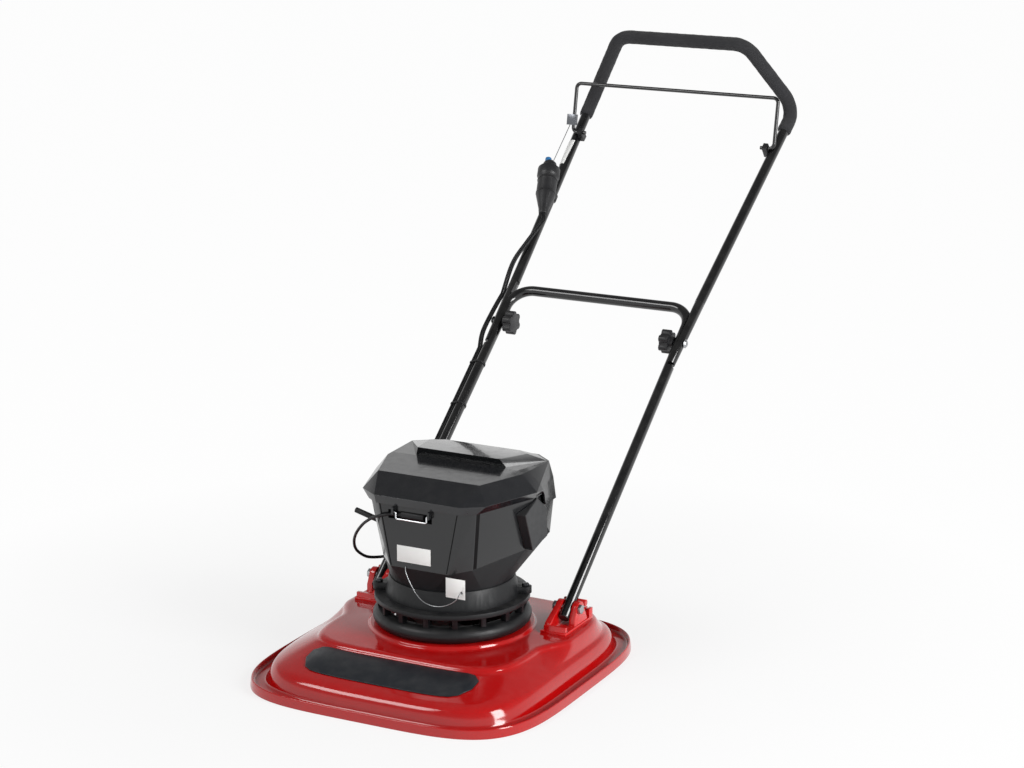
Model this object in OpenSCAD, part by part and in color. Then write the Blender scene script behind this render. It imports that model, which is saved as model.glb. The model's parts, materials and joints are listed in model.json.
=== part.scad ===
// Hover mower: a red hood with no wheels, a battery motor head on its intake ring,
// and a folding two-part push handle with a wire bail and a start switch.
// Millimetres. Origin on the ground under the motor shaft, front towards -Y, handle towards +Y.

/* [Deck] */
// Width of the deck over its lip
deck_w = 570; // [550:1:590]
// Length of the deck over its lip
deck_l = 615; // [600:1:630]
// Distance of the deck's middle ahead of the motor shaft
deck_ahead = 32; // [26:1:38]
// Squareness of the deck's outline
deck_square = 4.3; // [3.8:0.1:5]
// Height of the flat platform under the motor head
deck_h = 72; // [70:1:78]
// Thickness of the deck's skin
deck_t = 4; // [3:0.5:5]
// Height of the upturned lip
lip_h = 17; // [12:1:20]
// Thickness of the lip
lip_t = 5; // [4:0.5:6]
// Width of the channel inside the lip
channel_w = 20; // [16:1:24]
// Thickness of the channel's floor
channel_t = 6; // [4:0.5:8]
// Height of the upright hood wall
wall_h = 25; // [22:1:28]
// Height of the hood's shoulder
shoulder_h = 39; // [36:1:42]
// Width of the platform at the front
platform_w = 400; // [390:1:410]
// Length of the platform
platform_l = 386; // [376:1:396]
// Share by which the platform widens towards the handle brackets
platform_flare = 0.15; // [0.12:0.01:0.17]
// Height of the round boss under the motor head
boss_h = 6; // [4:0.5:8]
// Radius of the air intake through the deck
intake_r = 118; // [112:1:122]

/* [Front plate] */
// Length of the plain plate on the front slope
plate_l = 330; // [300:1:340]
// Thickness of the plate
plate_t = 1.6; // [1:0.1:3]

/* [Motor head] */
// Outer radius of the bulging base ring
ring_r = 143; // [140:1:146]
// Height of the base ring
ring_h = 27; // [24:1:30]
// Height of the open slots of the intake cage
slot_h = 18; // [14:1:22]
// Number of ribs round the intake cage
ribs = 16; // [12:1:20]
// Thickness of the cage's flange
flange_t = 9; // [7:1:12]
// Outer radius of the cage's flange
flange_r = 140; // [136:1:142]
// Outer radius of the motor mount
neck_r = 113; // [111:1:116]
// Height of the motor mount
neck_h = 34; // [31:1:38]
// Height of the lower cowl's front edge above the motor mount
under_h = 40; // [37:1:45]
// Height of the lower cowl at its front
cowl_h = 113; // [108:1:120]
// Height of the front cover from its skirt to its flat top
cover_h = 46; // [42:1:50]
// Height of the battery lid above the front cover
lid_rise = 18; // [16:1:24]
// Wall of the cowl, cover and lid
cowl_t = 4; // [3:0.5:5]
// Half width of the cowl at its widest
cowl_half = 150; // [146:1:154]

/* [Motor and cutter] */
// Radius of the motor shaft
shaft_r = 6; // [5:0.5:7]
// Outer radius of the bearings
bearing_r = 14; // [13:0.5:16]
// Width of each bearing
bearing_w = 10; // [8:1:11]
// Outer radius of the rotor
rotor_r = 66; // [60:1:72]
// Radius of the impeller
impeller_r = 165; // [150:1:170]
// Number of impeller vanes
vanes = 12; // [8:1:16]
// Length of the cutter blade
blade_l = 440; // [400:1:450]
// Width of the cutter blade
blade_w = 50; // [40:1:60]
// Thickness of the cutter blade
blade_t = 4; // [3:0.5:5]

/* [Handle] */
// Outer diameter of the handle tubes
tube_d = 20; // [18:1:22]
// Wall of the handle tubes
tube_wall = 2; // [1.5:0.1:2.5]
// Half the distance between the lower legs
leg_x = 193; // [190:1:196]
// Distance of the handle pivot behind the motor shaft
pivot_y = 80; // [76:1:84]
// Height of the handle pivot above the platform
pivot_rise = 33; // [32:1:36]
// Lean of the lower legs above the ground in degrees
lean = 38.9; // [36:0.1:42]
// Lean of the upper handle above the ground in degrees
upper_lean = 37.7; // [35:0.1:40]
// Distance from the pivot to the clamp bolts
clamp_s = 609; // [580:1:640]
// Distance from the clamp bolts to the crossbar
bar_past = 83; // [78:1:90]
// Length of the upper handle from the clamp bolts to the grip's bend
upper_l = 625; // [600:1:650]
// Half width of the upper handle at the grip's bend
grip_half = 224; // [218:1:230]
// Half width of the top of the grip
grip_top_half = 140; // [130:1:150]
// Rise of the grip's top square to the upper legs
grip_rise = 143; // [130:1:156]
// Outer diameter of the foam grip
foam_d = 28; // [26:1:30]
// Diameter of the bail rod
bail_d = 7.5; // [6:0.5:8]
// Distance from the clamp bolts to the bail's pivot
bail_t = 500; // [490:1:510]
// Reach of the bail along the upper legs
bail_reach = 75; // [70:1:78]
// Rise of the bail's bar above its pivot
bail_rise = 67; // [62:1:72]
// Radius of the clamp knobs
knob_r = 23.5; // [20:0.5:26]

/* [Fits] */
// Running clearance round pins and shafts
run_gap = 0.08; // [0.05:0.01:0.1]
// Clearance between pieces that move past each other
move_gap = 0.3; // [0.2:0.05:0.5]

/* [Hidden] */
$fn = 96;
deck_sides = 72;
tube_sides = 28;
bend_steps = 8;
platform_square = 5;
platform_y = -4;
side_rise = 6;

tube_r = tube_d/2;
bail_r = bail_d/2;
foam_r = foam_d/2;

wall_in = lip_t + channel_w;
boss_z = deck_h + boss_h;
boss_r = ring_r + 5;
ring_top = boss_z + ring_h;
cage_z = ring_top + slot_h;
neck_z = cage_z + flange_t;
neck_top = neck_z + neck_h;
cowl_z = neck_top + under_h;
cowl_top = cowl_z + cowl_h;
ridge_z = cowl_top + cover_h;
lid_top = ridge_z + lid_rise;
lid_z = cowl_top - 22;
skirt_z = cowl_top + 15;
panel_y = -122;
low_tilt = 6.5;
seam_y = 26;
seam_slope = 0.55;
lid_tilt = 5.5;

pivot_z = deck_h + pivot_rise;
clamp_y = pivot_y + clamp_s*cos(lean);
clamp_z = pivot_z + clamp_s*sin(lean);
bar_s = clamp_s + bar_past;
tail_s = 22;
ear_t = 11;
bolt_r = 5;
clamp_r = 4;
bail_n = tube_r + bail_r + 0.25;
lap_end = 52;
saddle_l = 14;
foam_tail = 66;
foam_clear = 3;
leg_run = max(upper_l, bail_t + saddle_l/2 + foam_clear + foam_tail);
splay = (grip_half - leg_x)/(leg_run + lap_end);

// Vector helpers and swept tubes

function unit(v) = v/norm(v);
function flipped(points) = [for (i = [len(points) - 1:-1:0]) [-points[i].x, points[i].y, points[i].z]];

module along(a, b) {
    v = b - a;
    translate(a) rotate([0, acos(v.z/norm(v)), atan2(v.y, v.x)]) children();
}

module rod(a, b, r) {
    along(a, b) cylinder(r = r, h = norm(b - a));
}

// A pipe through points with rounded corners, drawn link by link, each in the frame of the one before.
function cross_axis(d) =
    let (tilt = acos(d.z), turn = atan2(d.y, d.x)) [cos(tilt)*cos(turn), cos(tilt)*sin(turn), -sin(tilt)];

module pipe(points, bend, r) {
    along(points[0], points[1]) pipe_link(points, 0, cross_axis(unit(points[1] - points[0])), 0, bend, r);
}

module pipe_link(points, i, x, used, bend, r) {
    v = points[i + 1] - points[i];
    d = unit(v);
    ends = i + 2 == len(points);
    next = ends ? d : unit(points[i + 2] - points[i + 1]);
    turn = ends ? 0 : acos(d*next);
    cut = bend*tan(turn/2);
    straight = norm(v) - used - cut;
    cylinder(r = r, h = straight);
    if (!ends) {
        side = unit(next - d*(d*next));
        translate([0, 0, straight]) rotate(atan2(side*cross(d, x), side*x)) translate([bend, 0, 0]) {
            rotate([90, 0, 180]) rotate_extrude(angle = turn) translate([bend, 0]) circle(r);
            rotate([0, turn, 0]) translate([-bend, 0, 0])
                pipe_link(points, i + 1, side*cos(turn) - d*sin(turn), cut, bend, r);
        }
    }
}

// A round cord on a smooth curve through its points.
function curve_at(p, k, u) =
    let (a = p[max(k - 1, 0)], b = p[k], c = p[k + 1], d = p[min(k + 2, len(p) - 1)])
    0.5*(2*b + (c - a)*u + (2*a - 5*b + 4*c - d)*u*u + (3*b - a - 3*c + d)*u*u*u);
function curve(p, steps) =
    concat([for (k = [0:len(p) - 2]) for (j = [0:steps - 1]) curve_at(p, k, j/steps)], [p[len(p) - 1]]);
function ring_at(c, i, r, n) =
    let (
        ahead = i < len(c) - 1 ? unit(c[i + 1] - c[i]) : [0, 0, 0],
        behind = i > 0 ? unit(c[i] - c[i - 1]) : [0, 0, 0],
        t = unit(ahead + behind),
        side = unit(cross(t, abs(t.z) > 0.9 ? [1, 0, 0] : [0, 0, 1])),
        up = cross(side, t))
    [for (k = [0:n - 1]) c[i] + r*(side*cos(360*k/n) + up*sin(360*k/n))];

module cord(points, r, n, steps) {
    c = curve(points, steps);
    m = len(c);
    body = [for (i = [0:m - 1]) for (q = ring_at(c, i, r, n)) q];
    skin = [
        for (i = [0:m - 2]) for (k = [0:n - 1])
            let (a = i*n + k, b = i*n + (k + 1)%n)
            each [[a, a + n, b + n], [a, b + n, b]]];
    ends = [
        for (k = [1:n - 2]) each [[0, k, k + 1], [m*n - 1, m*n - 1 - k, m*n - 2 - k]]];
    polyhedron(body, concat(skin, ends));
}

// A hollow tube bent in space: one closed skin, out along the outside and back along the bore.
function arc_at(p, d1, d2, bend, u) =
    let (turn = acos(d1*d2), out = unit(d1 - d2), middle = p - out*bend/cos(turn/2), on = unit(d1 + d2))
    middle + bend*(out*cos(turn*(u - 0.5)) + on*sin(turn*(u - 0.5)));
function bent(p, bend, steps) =
    let (n = len(p) - 1)
    concat([p[0]], [for (i = [1:n - 1]) for (j = [0:steps])
        arc_at(p[i], unit(p[i] - p[i - 1]), unit(p[i + 1] - p[i]), bend, j/steps)], [p[n]]);

module bent_tube(points, bend, r, bore) {
    c = bent(points, bend, bend_steps);
    m = len(c);
    n = tube_sides;
    body = concat(
        [for (i = [0:m - 1]) each ring_at(c, i, r, n)],
        [for (i = [m - 1:-1:0]) each ring_at(c, i, bore, n)]);
    faces = [
        for (i = [0:2*m - 1]) for (k = [0:n - 1])
            let (j = (i + 1)%(2*m), a = i*n + k, b = i*n + (k + 1)%n, c = j*n + k, d = j*n + (k + 1)%n)
            each [[a, c, d], [a, d, b]]];
    polyhedron(body, faces);
}

module both_sides() {
    children();
    mirror([1, 0, 0]) children();
}

module across(x0, x1, r) {
    translate([x0, 0, 0]) rotate([0, 90, 0]) cylinder(r = r, h = x1 - x0);
}

module leg_frame() {
    translate([0, pivot_y, pivot_z]) rotate([lean, 0, 0]) children();
}

module upper_frame() {
    translate([0, clamp_y, clamp_z]) rotate([upper_lean, 0, 0]) children();
}

// Deck

function blob(a, b, n, y, z, rise = 0) = [
    for (i = [0:deck_sides - 1])
        let (t = 360*i/deck_sides, r = pow(pow(abs(cos(t))/a, n) + pow(abs(sin(t))/b, n), -1/n))
        [r*cos(t), y + r*sin(t), z + rise*pow(cos(t), 2)]];
function outline(inset, z, rise = 0) =
    blob(deck_w/2 - inset, deck_l/2 - inset, deck_square, -deck_ahead, z, rise);
function ease(y) = let (k = min(max((y + 60)/80, 0), 1)) k*k*(3 - 2*k);
function platform(grow, z) = [
    for (p = blob(platform_w/2 + grow, platform_l/2 + grow, platform_square, platform_y, z))
        [p.x*(1 + platform_flare*ease(p.y)), p.y, p.z]];
function blend(a, b, k, z) = [
    for (i = [0:deck_sides - 1]) [a[i].x + (b[i].x - a[i].x)*k, a[i].y + (b[i].y - a[i].y)*k, z + a[i].z]];
function round_ring(r, z) = [
    for (i = [0:deck_sides - 1]) [r*cos(360*i/deck_sides), r*sin(360*i/deck_sides), z]];

slope_share = 0.16;
slope_rise = 4;
shoulder = outline(wall_in + 20, shoulder_h, side_rise);
shoulder_under = outline(wall_in + 22, shoulder_h - deck_t, side_rise);

deck_rings = [
    outline(0, 0), outline(0, 4), outline(1.5, lip_h - 1.5), outline(3, lip_h),
    outline(lip_t - 0.5, lip_h - 1), outline(lip_t, channel_t), outline(wall_in, channel_t),
    outline(wall_in + 5, wall_h, side_rise/2), outline(wall_in + 11, shoulder_h - 5, side_rise),
    shoulder, blend(shoulder, platform(0, 0), slope_share, slope_rise), platform(3, deck_h - 9),
    platform(0, deck_h - 3), platform(-6, deck_h), round_ring(boss_r + 3, deck_h),
    round_ring(boss_r, boss_z), round_ring(intake_r, boss_z),
    round_ring(intake_r, deck_h - deck_t), round_ring(boss_r, deck_h - deck_t),
    platform(-8, deck_h - deck_t), platform(-3, deck_h - deck_t - 3), platform(0, deck_h - deck_t - 9),
    blend(shoulder_under, platform(0, 0), slope_share, slope_rise), shoulder_under,
    outline(wall_in + 15, shoulder_h - 5 - deck_t, side_rise), outline(wall_in + 9, wall_h - 2, side_rise/2),
    outline(wall_in + 4, 0)
];

module deck_shell() {
    m = len(deck_rings);
    n = deck_sides;
    points = [for (ring = deck_rings) each ring];
    faces = [
        for (i = [0:m - 1]) for (k = [0:n - 1])
            let (a = i*n + k, b = i*n + (k + 1)%n, c = ((i + 1)%m)*n + k, d = ((i + 1)%m)*n + (k + 1)%n)
            each [[a, c, d], [a, d, b]]];
    color("firebrick") polyhedron(points, faces);
}

// The plate follows the front slope between the shoulder and the platform.
plate_share = 0.93;
plate_high = 2;
plate_end = 36;
plate_lift = 0.8;
plate_parts = 24;
function front_y(a, b, n, y, x) = y - b*pow(1 - pow(abs(x)/a, n), 1/n);
function shoulder_y(x) =
    front_y(deck_w/2 - wall_in - 20, deck_l/2 - wall_in - 20, deck_square, -deck_ahead, x);
function platform_front(x) = front_y(platform_w/2 + 3, platform_l/2 + 3, platform_square, platform_y, x);
function fold_y(x) = shoulder_y(x) + slope_share*(front_y(platform_w/2, platform_l/2, platform_square,
    platform_y, x) - shoulder_y(x));
function slope_z(x, y) =
    let (low = shoulder_h + slope_rise + side_rise*pow(x/deck_w*2, 2))
    low + (deck_h - 9 - low)*(y - fold_y(x))/(platform_front(x) - fold_y(x));
function plate_section(x) =
    let (
        k = max(abs(x) - plate_l/2 + plate_end, 0)/plate_end,
        half = plate_share*(platform_front(0) - fold_y(0))/2,
        mid = platform_front(x) - plate_high - half,
        w = half*(0.35 + 0.65*sqrt(max(1 - k*k, 0))),
        y0 = mid - w, y1 = mid + w, z0 = slope_z(x, y0) + plate_lift, z1 = slope_z(x, y1) + plate_lift)
    [[x, y0, z0], [x, y1, z1], [x, y1, z1 + plate_t], [x, y0, z0 + plate_t]];

module front_plate() {
    sections = [for (i = [0:plate_parts]) plate_section(plate_l*(i/plate_parts - 0.5))];
    skin = [
        for (i = [0:plate_parts - 1]) for (k = [0:3])
            let (a = 4*i + k, b = 4*i + (k + 1)%4)
            each [[a, a + 4, b + 4], [a, b + 4, b]]];
    last = 4*plate_parts;
    ends = [[0, 1, 2], [0, 2, 3], [last + 2, last + 1, last], [last + 3, last + 2, last]];
    color("#1c1e22") polyhedron([for (s = sections) each s], concat(skin, ends));
}

// Handle brackets

base_t = 5;
ear_in = leg_x - tube_r - move_gap - ear_t;
ear_out = leg_x + tube_r + move_gap;
bracket_y0 = 20;
bracket_y1 = 133;
ear_y0 = 62;
ear_r = 15;
stop_r = 6;
stop_s = 24;
stop_n = -(tube_r + stop_r + move_gap);

module ear(x, front) {
    translate([x, 0, 0]) rotate([90, 0, 90]) linear_extrude(ear_t) {
        translate([pivot_y + 5, pivot_z - 3]) circle(ear_r);
        polygon([
            [front, deck_h + base_t], [front, deck_h + base_t + 12], [pivot_y - ear_r + 8, pivot_z + 6],
            [pivot_y + 5, pivot_z - 3], [pivot_y + 5 + ear_r, pivot_z - 3],
            [pivot_y + 20 + ear_r, deck_h + base_t]]);
    }
}

module bracket() {
    color("firebrick") difference() {
        union() {
            translate([ear_in - 5, bracket_y0, deck_h])
                cube([ear_out + ear_t - ear_in + 7, bracket_y1 - bracket_y0, base_t]);
            ear(ear_in, bracket_y0 + 8);
            ear(ear_out, ear_y0);
            translate([ear_in, bracket_y0 + 4, deck_h + base_t]) cube([ear_out + ear_t - ear_in, 7, 9]);
            leg_frame() translate([0, stop_s, stop_n]) across(ear_in, ear_out + ear_t, stop_r);
            translate([ear_out - 2, bracket_y1 - 15, deck_h + base_t]) cube([15, 14, 16]);
        }
        translate([0, pivot_y, pivot_z]) across(ear_in - 1, ear_out + ear_t + 1, bolt_r + run_gap);
        translate([ear_out + 3, bracket_y1 - 17, deck_h + base_t + 11]) cube([4, 20, 10]);
        translate([leg_x, 0, 0]) for (p = screw_spots) translate([p.x, p.y, deck_h - 1])
            cylinder(r = screw_r + run_gap, h = base_t + 2);
    }
}

screw_r = 3;
screw_spots = [[0, bracket_y0 + 20], [0, bracket_y1 - 8]];

module right_bracket() bracket();
module left_bracket() mirror([1, 0, 0]) bracket();

module bracket_screws() {
    color("silver") both_sides() for (p = screw_spots) translate([leg_x + p.x, p.y, deck_h]) {
        cylinder(r = screw_r, h = base_t);
        translate([0, 0, base_t]) cylinder(r = 2*screw_r, h = 3);
    }
}

module pivot_bolts() {
    color("silver") both_sides() translate([0, pivot_y, pivot_z]) {
        across(ear_in - 6, ear_out + ear_t, bolt_r);
        translate([ear_out + ear_t, 0, 0]) rotate([0, 90, 0]) cylinder(r = 9, h = 6, $fn = 6);
        translate([ear_in - 7, 0, 0]) rotate([0, 90, 0]) cylinder(r = 9, h = 7, $fn = 6);
    }
}

// Intake and motor mount

bulge_r = ring_h/2;
ring_in = intake_r - 3;
rib_w = 10;
rib_in = 122;
rib_out = 134;

module base_ring() {
    color("#232427") rotate_extrude() difference() {
        union() {
            translate([ring_in, boss_z]) square([ring_r - bulge_r - ring_in, ring_h]);
            translate([ring_r - bulge_r, boss_z + bulge_r]) circle(bulge_r);
        }
        translate([0, boss_z - 2*bulge_r]) square([2*ring_r, 2*bulge_r]);
    }
}

module intake_cage() {
    color("#2a2b2e") {
        translate([0, 0, cage_z]) difference() {
            cylinder(r = flange_r, h = flange_t);
            translate([0, 0, -1]) cylinder(r = neck_r - 12, h = flange_t + 2);
        }
        for (i = [0:ribs - 1]) rotate(360*(i + 0.35)/ribs)
            translate([rib_in, -rib_w/2, ring_top]) cube([rib_out - rib_in, rib_w, slot_h + flange_t/3]);
    }
}

mount_floor = 6;
neck_flare = 8;
mount_wall = 10;
tube_out = bearing_r + 8;
motor_top = neck_top + 24;
lug_spots = [22, 112, 202];
lug_reach = 30;
lug_r = 11;
lug_h = 12;

module motor_mount() {
    color("#2b2c2f") difference() {
        union() {
            rotate_extrude() polygon([
                [bearing_r, neck_z], [neck_r + neck_flare, neck_z], [neck_r, neck_top],
                [neck_r - mount_wall, neck_top],
                [neck_r - mount_wall, neck_z + mount_floor], [tube_out, neck_z + mount_floor],
                [tube_out, motor_top], [bearing_r, motor_top]]);
            for (a = lug_spots) rotate(a) {
                translate([neck_r - 2, -lug_r, neck_z]) cube([lug_reach - lug_r + 2, 2*lug_r, lug_h]);
                translate([neck_r + lug_reach - lug_r, 0, neck_z]) cylinder(r = lug_r, h = lug_h);
            }
        }
        for (a = lug_spots) rotate(a) translate([neck_r + lug_reach - lug_r, 0, neck_z - 1])
            cylinder(r = screw_r + run_gap, h = lug_h + 2);
    }
}

module mount_bolts() {
    color("silver") for (a = lug_spots) rotate(a) translate([neck_r + lug_reach - lug_r, 0, neck_z]) {
        cylinder(r = screw_r, h = lug_h);
        translate([0, 0, lug_h]) cylinder(r = 6.5, h = 5, $fn = 6);
    }
}

module bearings() {
    color("gainsboro") for (z = [neck_z, motor_top - bearing_w]) translate([0, 0, z]) difference() {
        cylinder(r = bearing_r - run_gap, h = bearing_w);
        translate([0, 0, -1]) cylinder(r = shaft_r + run_gap, h = bearing_w + 2);
    }
}

rotor_t = 6;
rotor_z = neck_z + mount_floor + 5;
stator_z = rotor_z + 3;
teeth = 12;
tooth_w = 9;

module stator() {
    color("#b87333") translate([0, 0, stator_z]) difference() {
        cylinder(r = rotor_r - rotor_t - 3, h = motor_top - stator_z - 6);
        translate([0, 0, -1]) cylinder(r = tube_out + run_gap, h = motor_top);
        for (i = [0:teeth - 1]) rotate(360*i/teeth) translate([tube_out + 8, -tooth_w/4, -1])
            cube([rotor_r, tooth_w/2, motor_top]);
    }
}

// Cowl, cover and lid

function head(half) = concat(half, [for (i = [len(half) - 1:-1:0]) [-half[i].x, half[i].y]]);
function cowl_low(w) = head([
    [cowl_half - 92 - w, panel_y + w], [cowl_half - 61 - w, panel_y + 32 + w], [cowl_half - 13 - w, 24],
    [cowl_half - 7 - w, 106], [cowl_half - 46 - w, 130 - w]]);
function cowl_high(w) = head([
    [cowl_half - 70 - w, panel_y + w], [cowl_half - 46 - w, panel_y + 17 + w], [cowl_half - w, 25],
    [cowl_half + 1 - w, 108], [cowl_half - 36 - w, 136 - w]]);
function skirt(w) = head([
    [cowl_half - 66 - w, panel_y - 7 + w], [cowl_half - 27 - w, panel_y + 20 + w], [cowl_half + 13 - w, 14],
    [cowl_half - 4 - w, 112], [cowl_half - 36 - w, 141 - w]]);
function lid_low(w) = head([
    [cowl_half - 70 - w, panel_y + w], [cowl_half - 46 - w, panel_y + 17 + w], [cowl_half + 6 - w, 44],
    [cowl_half + 3 - w, 109], [cowl_half - 34 - w, 139.5 - w]]);
function ridge(w) = head([
    [cowl_half - 49 - w, panel_y + 37 + w], [cowl_half - 14 - w, 10], [cowl_half - 10 - w, 106],
    [cowl_half - 44 - w, 134 - w]]);
function lid_base(w) = head([
    [cowl_half - 59 - w, seam_y + 9 + w], [cowl_half - 12 - w, 104], [cowl_half - 46 - w, 131 - w]]);
function lid_plate(w) = head([
    [cowl_half - 67 - w, w], [cowl_half - 50 - w, 74], [cowl_half - 74 - w, 94 - w]]);
film = 0.4;

module layer(z, points) {
    translate([0, 0, z]) linear_extrude(film) polygon(points);
}

// The lower edge of the cowl rises towards the back, and what stands in it leans with it.
module floor_frame(up) {
    translate([0, panel_y, cowl_z]) rotate([low_tilt, 0, 0]) translate([0, -panel_y, up]) children();
}

module cowl_block(w) {
    hull() {
        floor_frame(w > 0 ? cowl_t : 0) layer(0, cowl_low(w));
        layer(cowl_top - (w > 0 ? -1 : film), cowl_high(w));
    }
}

module cover_block(w) {
    hull() {
        layer(w > 0 ? cowl_top - 1 : cowl_top, cowl_high(w > 0 ? w : -3));
        layer(skirt_z, skirt(w));
        layer(ridge_z - w - film, ridge(w));
    }
}

// The raised middle of the lid overhangs the cover's flat top at the front.
module lid_rise_block(w) {
    hull() {
        layer(ridge_z - w - film, lid_base(w));
        translate([0, seam_y - 20, lid_top - w]) rotate([-lid_tilt, 0, 0]) translate([0, 20, 0])
            layer(-film, lid_plate(w));
    }
}

module lid_block(w) {
    hull() {
        layer(w > 0 ? lid_z - 1 : lid_z, lid_low(w));
        layer(skirt_z, skirt(w));
        layer(ridge_z - w - film, ridge(w));
    }
    lid_rise_block(w);
}

// The space behind the slanted seam, drawn as a wedge along X.
module behind_seam(shift, floor_z) {
    y0 = seam_y + shift;
    rotate([90, 0, 90]) linear_extrude(500, center = true) polygon([
        [y0, lid_top + 60], [y0, ridge_z], [y0 + (ridge_z - floor_z)*seam_slope, floor_z], [300, floor_z],
        [300, lid_top + 60]]);
}

hinge_y = 147;
hinge_z = lid_z + 1;
hinge_r = 3;
knuckle_r = 6;
knuckle_l = 18;
hinge_spots = [-62, 62];
recess = [87, 17, 16];
recess_at = [-60, panel_y + recess.y, cowl_top - 25];
clip_r = 1.5;
clip_x = [-42, 19];
clip_y = panel_y - 5;
clip_z = recess_at.z + 14;
clip_drop = 12;
clip_bend = 2*clip_r;
lug_w = 4;
lug_gap = clip_bend + move_gap;

module knuckle(x, l) {
    translate([0, hinge_y, hinge_z]) across(x - l/2, x + l/2, knuckle_r);
}

module lower_cowl() {
    color("#26272a") difference() {
        union() {
            difference() {
                cowl_block(0);
                cowl_block(cowl_t);
                behind_seam(-move_gap, lid_z - move_gap);
            }
            translate([recess_at.x - 3, panel_y + 2, recess_at.z - 3])
                cube([recess.x + 6, recess.y + 1, recess.z + 6]);
            for (x = [clip_x[0] - lug_gap - lug_w, clip_x[1] + lug_gap])
                translate([x, clip_y - 4, clip_z - 4]) cube([lug_w, panel_y + cowl_t - clip_y + 3, 13]);
            for (x = hinge_spots) for (d = [-1, 1]) {
                knuckle(x + d*(knuckle_l + move_gap), knuckle_l);
                translate([x + d*(knuckle_l + move_gap) - knuckle_l/2, 126, hinge_z - 14])
                    cube([knuckle_l, hinge_y - 126, 10]);
            }
        }
        translate([recess_at.x, panel_y - 0.5, recess_at.z]) cube(recess + [0, 0.5, 0]);
        translate([0, clip_y, clip_z])
            across(clip_x[0] - lug_gap - lug_w - 1, clip_x[1] + lug_gap + lug_w + 1, clip_r + run_gap);
        translate([0, hinge_y, hinge_z]) across(-200, 200, hinge_r + run_gap);
    }
}

module battery_lid() {
    color("#2e2f33") difference() {
        union() {
            difference() {
                intersection() {
                    lid_block(0);
                    behind_seam(0, lid_z);
                }
                lid_block(cowl_t);
            }
            for (x = hinge_spots) {
                knuckle(x, knuckle_l - move_gap);
                translate([x - knuckle_l/2 + move_gap, 136, hinge_z])
                    cube([knuckle_l - 2*move_gap, hinge_y - 136, knuckle_r - 1.5]);
            }
        }
        translate([0, hinge_y, hinge_z]) across(-200, 200, hinge_r + run_gap);
    }
}

module lid_hinge_pins() {
    color("silver") translate([0, hinge_y, hinge_z]) for (x = hinge_spots)
        across(x - 1.5*knuckle_l - 2, x + 1.5*knuckle_l + 2, hinge_r);
}

module front_cover() {
    color("#2b2c30") difference() {
        cover_block(0);
        cover_block(cowl_t);
        behind_seam(-move_gap, lid_z - 40);
    }
}

module under_solid() {
    hull() {
        translate([0, 0, neck_top]) cylinder(r = neck_r - 2, h = film, $fn = 32);
        floor_frame(-film) layer(0, cowl_low(1));
    }
}

module under_cowl() {
    color("#222326") difference() {
        under_solid();
        hull() {
            translate([0, 0, neck_top - 1]) cylinder(r = neck_r - 7, h = film, $fn = 32);
            floor_frame(1) layer(0, cowl_low(7));
        }
    }
}

hex_side = [[-11, -22], [36, -2], [74, -31], [76, -84], [18, -95], [-6, -36]];
hex_reach = 3;
hex_in = 30;

module right_side_cover() {
    color("#36373b") difference() {
        translate([cowl_half - hex_in, 0, cowl_top]) rotate([90, 0, 90]) linear_extrude(hex_in + hex_reach)
            polygon(hex_side);
        cowl_block(0);
        behind_seam(-2*move_gap, lid_z - 2*move_gap);
    }
}

module left_side_cover() mirror([1, 0, 0]) right_side_cover();

// Inside the cowl

seat = cowl_t;
board_y = -52;
board_size = [110, 2, 70];
sink_y = board_y + board_size.y;
fins = 8;
battery_size = [140, 72, 92];
battery_y = 46;

module control_board() {
    color("darkgreen") {
        floor_frame(seat) translate([-board_size.x/2, board_y, 0]) cube(board_size);
        floor_frame(seat) for (x = [-36, -12, 12, 36]) translate([x, board_y, 40]) rotate([90, 0, 0])
            cylinder(r = 8, h = 14);
    }
}

module heat_sink() {
    color("silver") floor_frame(seat) translate([-board_size.x/2, sink_y, 0]) {
        cube([board_size.x, 5, board_size.z]);
        for (i = [0:fins - 1]) translate([i*(board_size.x - 3)/(fins - 1), 5, 0]) cube([3, 22, board_size.z]);
    }
}

module battery() {
    color("#404247") floor_frame(seat) translate([-battery_size.x/2, battery_y, 0]) {
        cube(battery_size);
        translate([battery_size.x/2 - 45, 18, battery_size.z]) difference() {
            cube([90, 36, 22]);
            translate([8, -1, -1]) cube([74, 38, 16]);
        }
    }
}

// Front socket, loop cable, label and tag

plug_x = -20;
plug_r = 7.5;
plug_z = recess_at.z + 8;
plug_y = panel_y + 5;
loop_r = 2.7;
loop_points = [
    [-43.2, -117, 8], [-48, -118.5, 8], [-56, -124, 7.5], [-66, -128, 5.5], [-80, -127, 1], [-95, -120, -6.5],
    [-122, -105, -26], [-146.5, -88, -52], [-164, -66, -78], [-170, -46, -100], [-163, -24, -117],
    [-147, -5, -121], [-131, 6, -118], [-121, 11, -116]];
gland_l = 9;

module front_plug() {
    color("#17181a") {
        translate([0, plug_y, plug_z]) {
            across(plug_x - 14, plug_x + 30, plug_r - move_gap);
            across(plug_x - 22, plug_x - 14, plug_r - 3);
        }
        translate([plug_x - 6, plug_y, plug_z - 5]) cube([18, recess_at.y - plug_y, 10]);
    }
}

module loop_cable() {
    color("#1a1b1d") translate([0, 0, recess_at.z]) cord(loop_points, loop_r, 10, 2);
}

loop_end = loop_points[len(loop_points) - 1] + [0, 0, recess_at.z];
loop_in = [30, 12, 6];
rear_gland = [-(cowl_half - 4), 96, cowl_z + 44];

module cable_glands() {
    color("#151618") {
        difference() {
            along(loop_end + loop_in, loop_end + loop_in*0.02) cylinder(r = 6, h = 0.98*norm(loop_in));
            under_solid();
        }
        difference() {
            translate(rear_gland) across(-gland_l, 20, 8);
            cowl_block(0);
            under_solid();
        }
    }
}

side_plug_from = [-90, -60, cowl_top - 62];
side_plug_to = [-163, -60, cowl_top - 43];

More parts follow.
